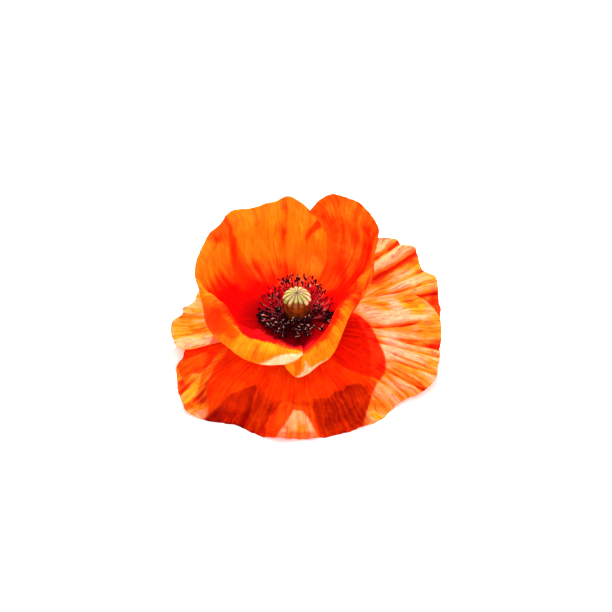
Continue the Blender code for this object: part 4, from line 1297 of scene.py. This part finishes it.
def capsule_rings(turn, scallop):
    """The ribbed capsule from foot to neck: points of each ring, and what the skin reads there."""
    foot_z = RECEPTACLE_TOP_Z + GAP
    body = np.array([
        (CAPSULE_BASE_RADIUS, foot_z),
        (0.8 * CAPSULE_RADIUS, foot_z + 0.8),
        (0.93 * CAPSULE_RADIUS, foot_z + 2.2),
        (CAPSULE_RADIUS, foot_z + 4.2),
        (CAPSULE_RADIUS, CAPSULE_TOP_Z - 1.2),
        (0.94 * CAPSULE_RADIUS, CAPSULE_TOP_Z),
    ])
    for t in np.linspace(0, 1, CAPSULE_RINGS):
        r, z = through_points([t], np.linspace(0, 1, len(body)), body)[0]
        rib = CAPSULE_RIB * (scallop - 0.5) * math.sin(math.pi * t)
        ray = 0.7 * np.exp(-((scallop / 0.3) ** 2)) * t
        yield turned(turn, r + rib, z), (ray, 0.0, 1.0, 0.0)


def disc_rings(turn, scallop):
    """The disc from its underside over the rim to its apex, in the same way."""
    top = [(share, 0.0, 1.0) for share in (1.0, *np.linspace(0.985, 0.02, DISC_TOP_RINGS))]
    for share, drop, look in DISC_UNDERSIDE + top:
        lobe = DISC_LOBE * (1 - scallop**0.7) * smoothstep((share - 0.55) / 0.45)
        r = DISC_RADIUS * (share - lobe)
        aside = scallop * 2 / DISC_RAYS * np.maximum(r, 0.2)
        ray = np.exp(-((aside / (RAY_WIDTHS[0] + RAY_WIDTHS[1] * share**2)) ** 2))
        bulge = DISC_BULGE * scallop**0.8 * share * (1 - 0.6 * share**4) + RAY_HEIGHT * ray * (1 - share)
        droop = RIM_DROOP * scallop * smoothstep((share - 0.8) / 0.2)
        z = DISC_RIM_Z + DISC_DOME * (1 - share**2) + bulge - droop - drop
        # Painted shade on the rim's lobes that face the front
        front = smoothstep((-np.sin(turn) * share - 0.60 - 0.08 * scallop) / 0.12)
        yield turned(turn, r, z), (ray * look, look, share, front)


def pistil_material():
    """A cream and green disc with dark velvety rays and painted shade on the front of its rim, on a brownish
    capsule.
    """
    material, tree, place = new_tree("pistil_skin")
    tone = noise(tree, place, 500.0, 3.0)
    patches = noise(tree, place, 260.0, 1.0)
    wedge = ramp(tree, about(tree, fact_of(tree, "outward"), tone, 0.3), WEDGE_COLOURS)
    for ends, colour in DISC_PATCHES:
        wedge = blended(tree, spread_over(tree, patches, *ends), wedge, colour)
    # Painted shade on the disc's front
    wedge = blended(tree, fact_of(tree, "front"), wedge, DISC_FRONT_SHADE)
    colour = blended(tree, fact_of(tree, "disc"), ramp(tree, tone, CAPSULE_COLOURS), wedge)
    colour = blended(tree, fact_of(tree, "ray"), colour, RAY_COLOUR)
    normal = relief(tree, noise(tree, place, 2500.0, 3.0), *PISTIL_RELIEF)
    return surfaced(material, skin(tree, colour, normal, 0.6, 0.1))


def add_pistil():
    turn = circle(PISTIL_SIDES)
    scallop = np.abs(np.sin(turn * DISC_RAYS / 2))  # 0 on a ray, 1 halfway to the next
    rings, facts = zip(*capsule_rings(turn, scallop), *disc_rings(turn, scallop))
    mesh = mesh_from("fine_pistil", np.concatenate(rings), ring_faces(len(rings), PISTIL_SIDES))
    for name, values in zip(PISTIL_FACTS, zip(*facts)):
        set_fact(mesh, name, np.concatenate([np.broadcast_to(value, turn.shape) for value in values]))
    add_piece("fine_pistil", mesh, pistil_material(), "pistil", "pistil")


def stem_material():
    """Green rind with fine lengthwise ribs, a paler cut end and painted shade on its top under the stamens.
    """
    material, tree, place = new_tree("stem_skin")
    stretched = add(tree, "Mapping", {"Vector": place, "Scale": (1.0, 1.0, 0.12)}).outputs[0]
    ribs = noise(tree, stretched, 2200.0, 3.0)
    colour = ramp(tree, ribs, RIND_COLOURS)
    for heights, end_colour in STEM_CUT_AND_SHADED_TOP:
        colour = blended(tree, spread_over(tree, fact_of(tree, "height"), *heights), colour, end_colour)
    return surfaced(material, skin(tree, colour, relief(tree, ribs, *STEM_RELIEF), 0.55, 0.5))


def add_stem():
    profile = np.array([
        (0.9 * STEM_RADIUS, STEM_END_Z),
        (STEM_RADIUS, STEM_END_Z + 0.12),
        (STEM_RADIUS, RECEPTACLE_FOOT_Z - 1.6),
        (0.6 * RECEPTACLE_RADIUS, RECEPTACLE_FOOT_Z - 0.8),
        (RECEPTACLE_RADIUS, RECEPTACLE_FOOT_Z),
        (RECEPTACLE_RADIUS, RECEPTACLE_TOP_Z - 0.5),
        (CAPSULE_BASE_RADIUS, RECEPTACLE_TOP_Z),
    ])
    turn, heights = circle(STEM_SIDES), np.linspace(STEM_END_Z, RECEPTACLE_TOP_Z, STEM_RINGS)[:, None]
    radii = np.interp(heights, profile[:, 1], profile[:, 0]) * (1 + STEM_RIB * np.sin(STEM_RIBS * turn))
    points = turned(turn, radii, heights).reshape(-1, 3)
    mesh = mesh_from("fine_stem", points, ring_faces(STEM_RINGS, STEM_SIDES))
    set_fact(mesh, "height", points[:, 2] - STEM_END_Z)
    add_piece("fine_stem", mesh, stem_material(), "stem", "stem")
    add_hairs()


def add_hairs():
    """Stiff hairs that stand out from the stem."""
    draw = random.Random(HAIR_SEED)
    hairs = []
    for _ in range(HAIRS):
        turn = draw.uniform(0, math.tau)
        root = turned(turn, 0.9 * STEM_RADIUS, draw.uniform(STEM_END_Z + 0.4, RECEPTACLE_FOOT_Z - 1.0))
        outwards = turned(turn, 1.0, draw.uniform(-0.2, 0.3))
        middles = [root + outwards * reach for reach in (*HAIR_REACHES, draw.uniform(*HAIR_TIPS))]
        hairs.append(tube_part(middles, HAIR_RADII, HAIR_SIDES))
    add_repeats("stem_hairs", hairs, speckled_skin("stem_hair"), "stem")


def add_floor():
    """A plain pale floor."""
    material, tree, place = new_tree("pale_floor")
    shade = blended(tree, noise(tree, place, 6.0), FLOOR_COLOUR, tuple(0.97 * c for c in FLOOR_COLOUR))
    surfaced(material, add(tree, "BsdfPrincipled", {"Base Color": shade, "Roughness": 0.8}).outputs[0])
    bpy.ops.mesh.primitive_plane_add(size=FLOOR_SIZE, location=(0.0, 0.0, 0.0))
    floor = bpy.context.object
    floor.name = "floor"
    floor.data.materials.append(material)
    floor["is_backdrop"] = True


def add_camera():
    """The photograph's viewpoint: in front of the flower and high over it."""
    elevation = math.radians(VIEW_ELEVATION)
    towards = Vector((0.0, -math.cos(elevation), math.sin(elevation)))
    camera = bpy.data.objects.new("camera", bpy.data.cameras.new("camera"))
    bpy.context.scene.collection.objects.link(camera)
    camera.location = Vector(SEAT) + towards * VIEW_DISTANCE
    camera.rotation_euler = towards.to_track_quat("Z", "Y").to_euler()
    camera.data.lens = LENS
    camera.data.shift_x = (PICTURE_MIDDLE - SEAT_PIXEL[0]) / PICTURE_SIZE
    camera.data.shift_y = (SEAT_PIXEL[1] - PICTURE_MIDDLE) / PICTURE_SIZE
    bpy.context.scene.camera = camera


def add_lights():
    """A key from behind, which lights the petals through, a soft fill in front and an even pale surround."""
    for name, (elevation, azimuth, strength, width) in SUNS.items():
        lamp = bpy.data.objects.new(name, bpy.data.lights.new(name, "SUN"))
        bpy.context.scene.collection.objects.link(lamp)
        lamp.data.energy = strength
        lamp.data.angle = math.radians(width)
        lamp.rotation_euler = (math.radians(elevation - 90), 0.0, math.radians(azimuth))
    world = bpy.data.worlds.new("surround")
    world.use_nodes = True
    background = world.node_tree.nodes["Background"]
    background.inputs["Color"].default_value = SKY_COLOUR
    background.inputs["Strength"].default_value = SKY_STRENGTH
    bpy.context.scene.world = world


def keep_sizes():
    """Works out the solids' box and the dressed flower's box."""
    boxes = {"cad": cad_bounds, "visual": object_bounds()}
    plain = {name: [[float(x) for x in corner] for corner in box] for name, box in boxes.items()}


add_camera()
add_lights()
add_floor()
add_petals()
add_stamens()
add_pistil()
add_stem()
bpy.context.scene.view_settings.view_transform = "Standard"
bpy.context.scene.cycles.use_denoising = True
keep_sizes()
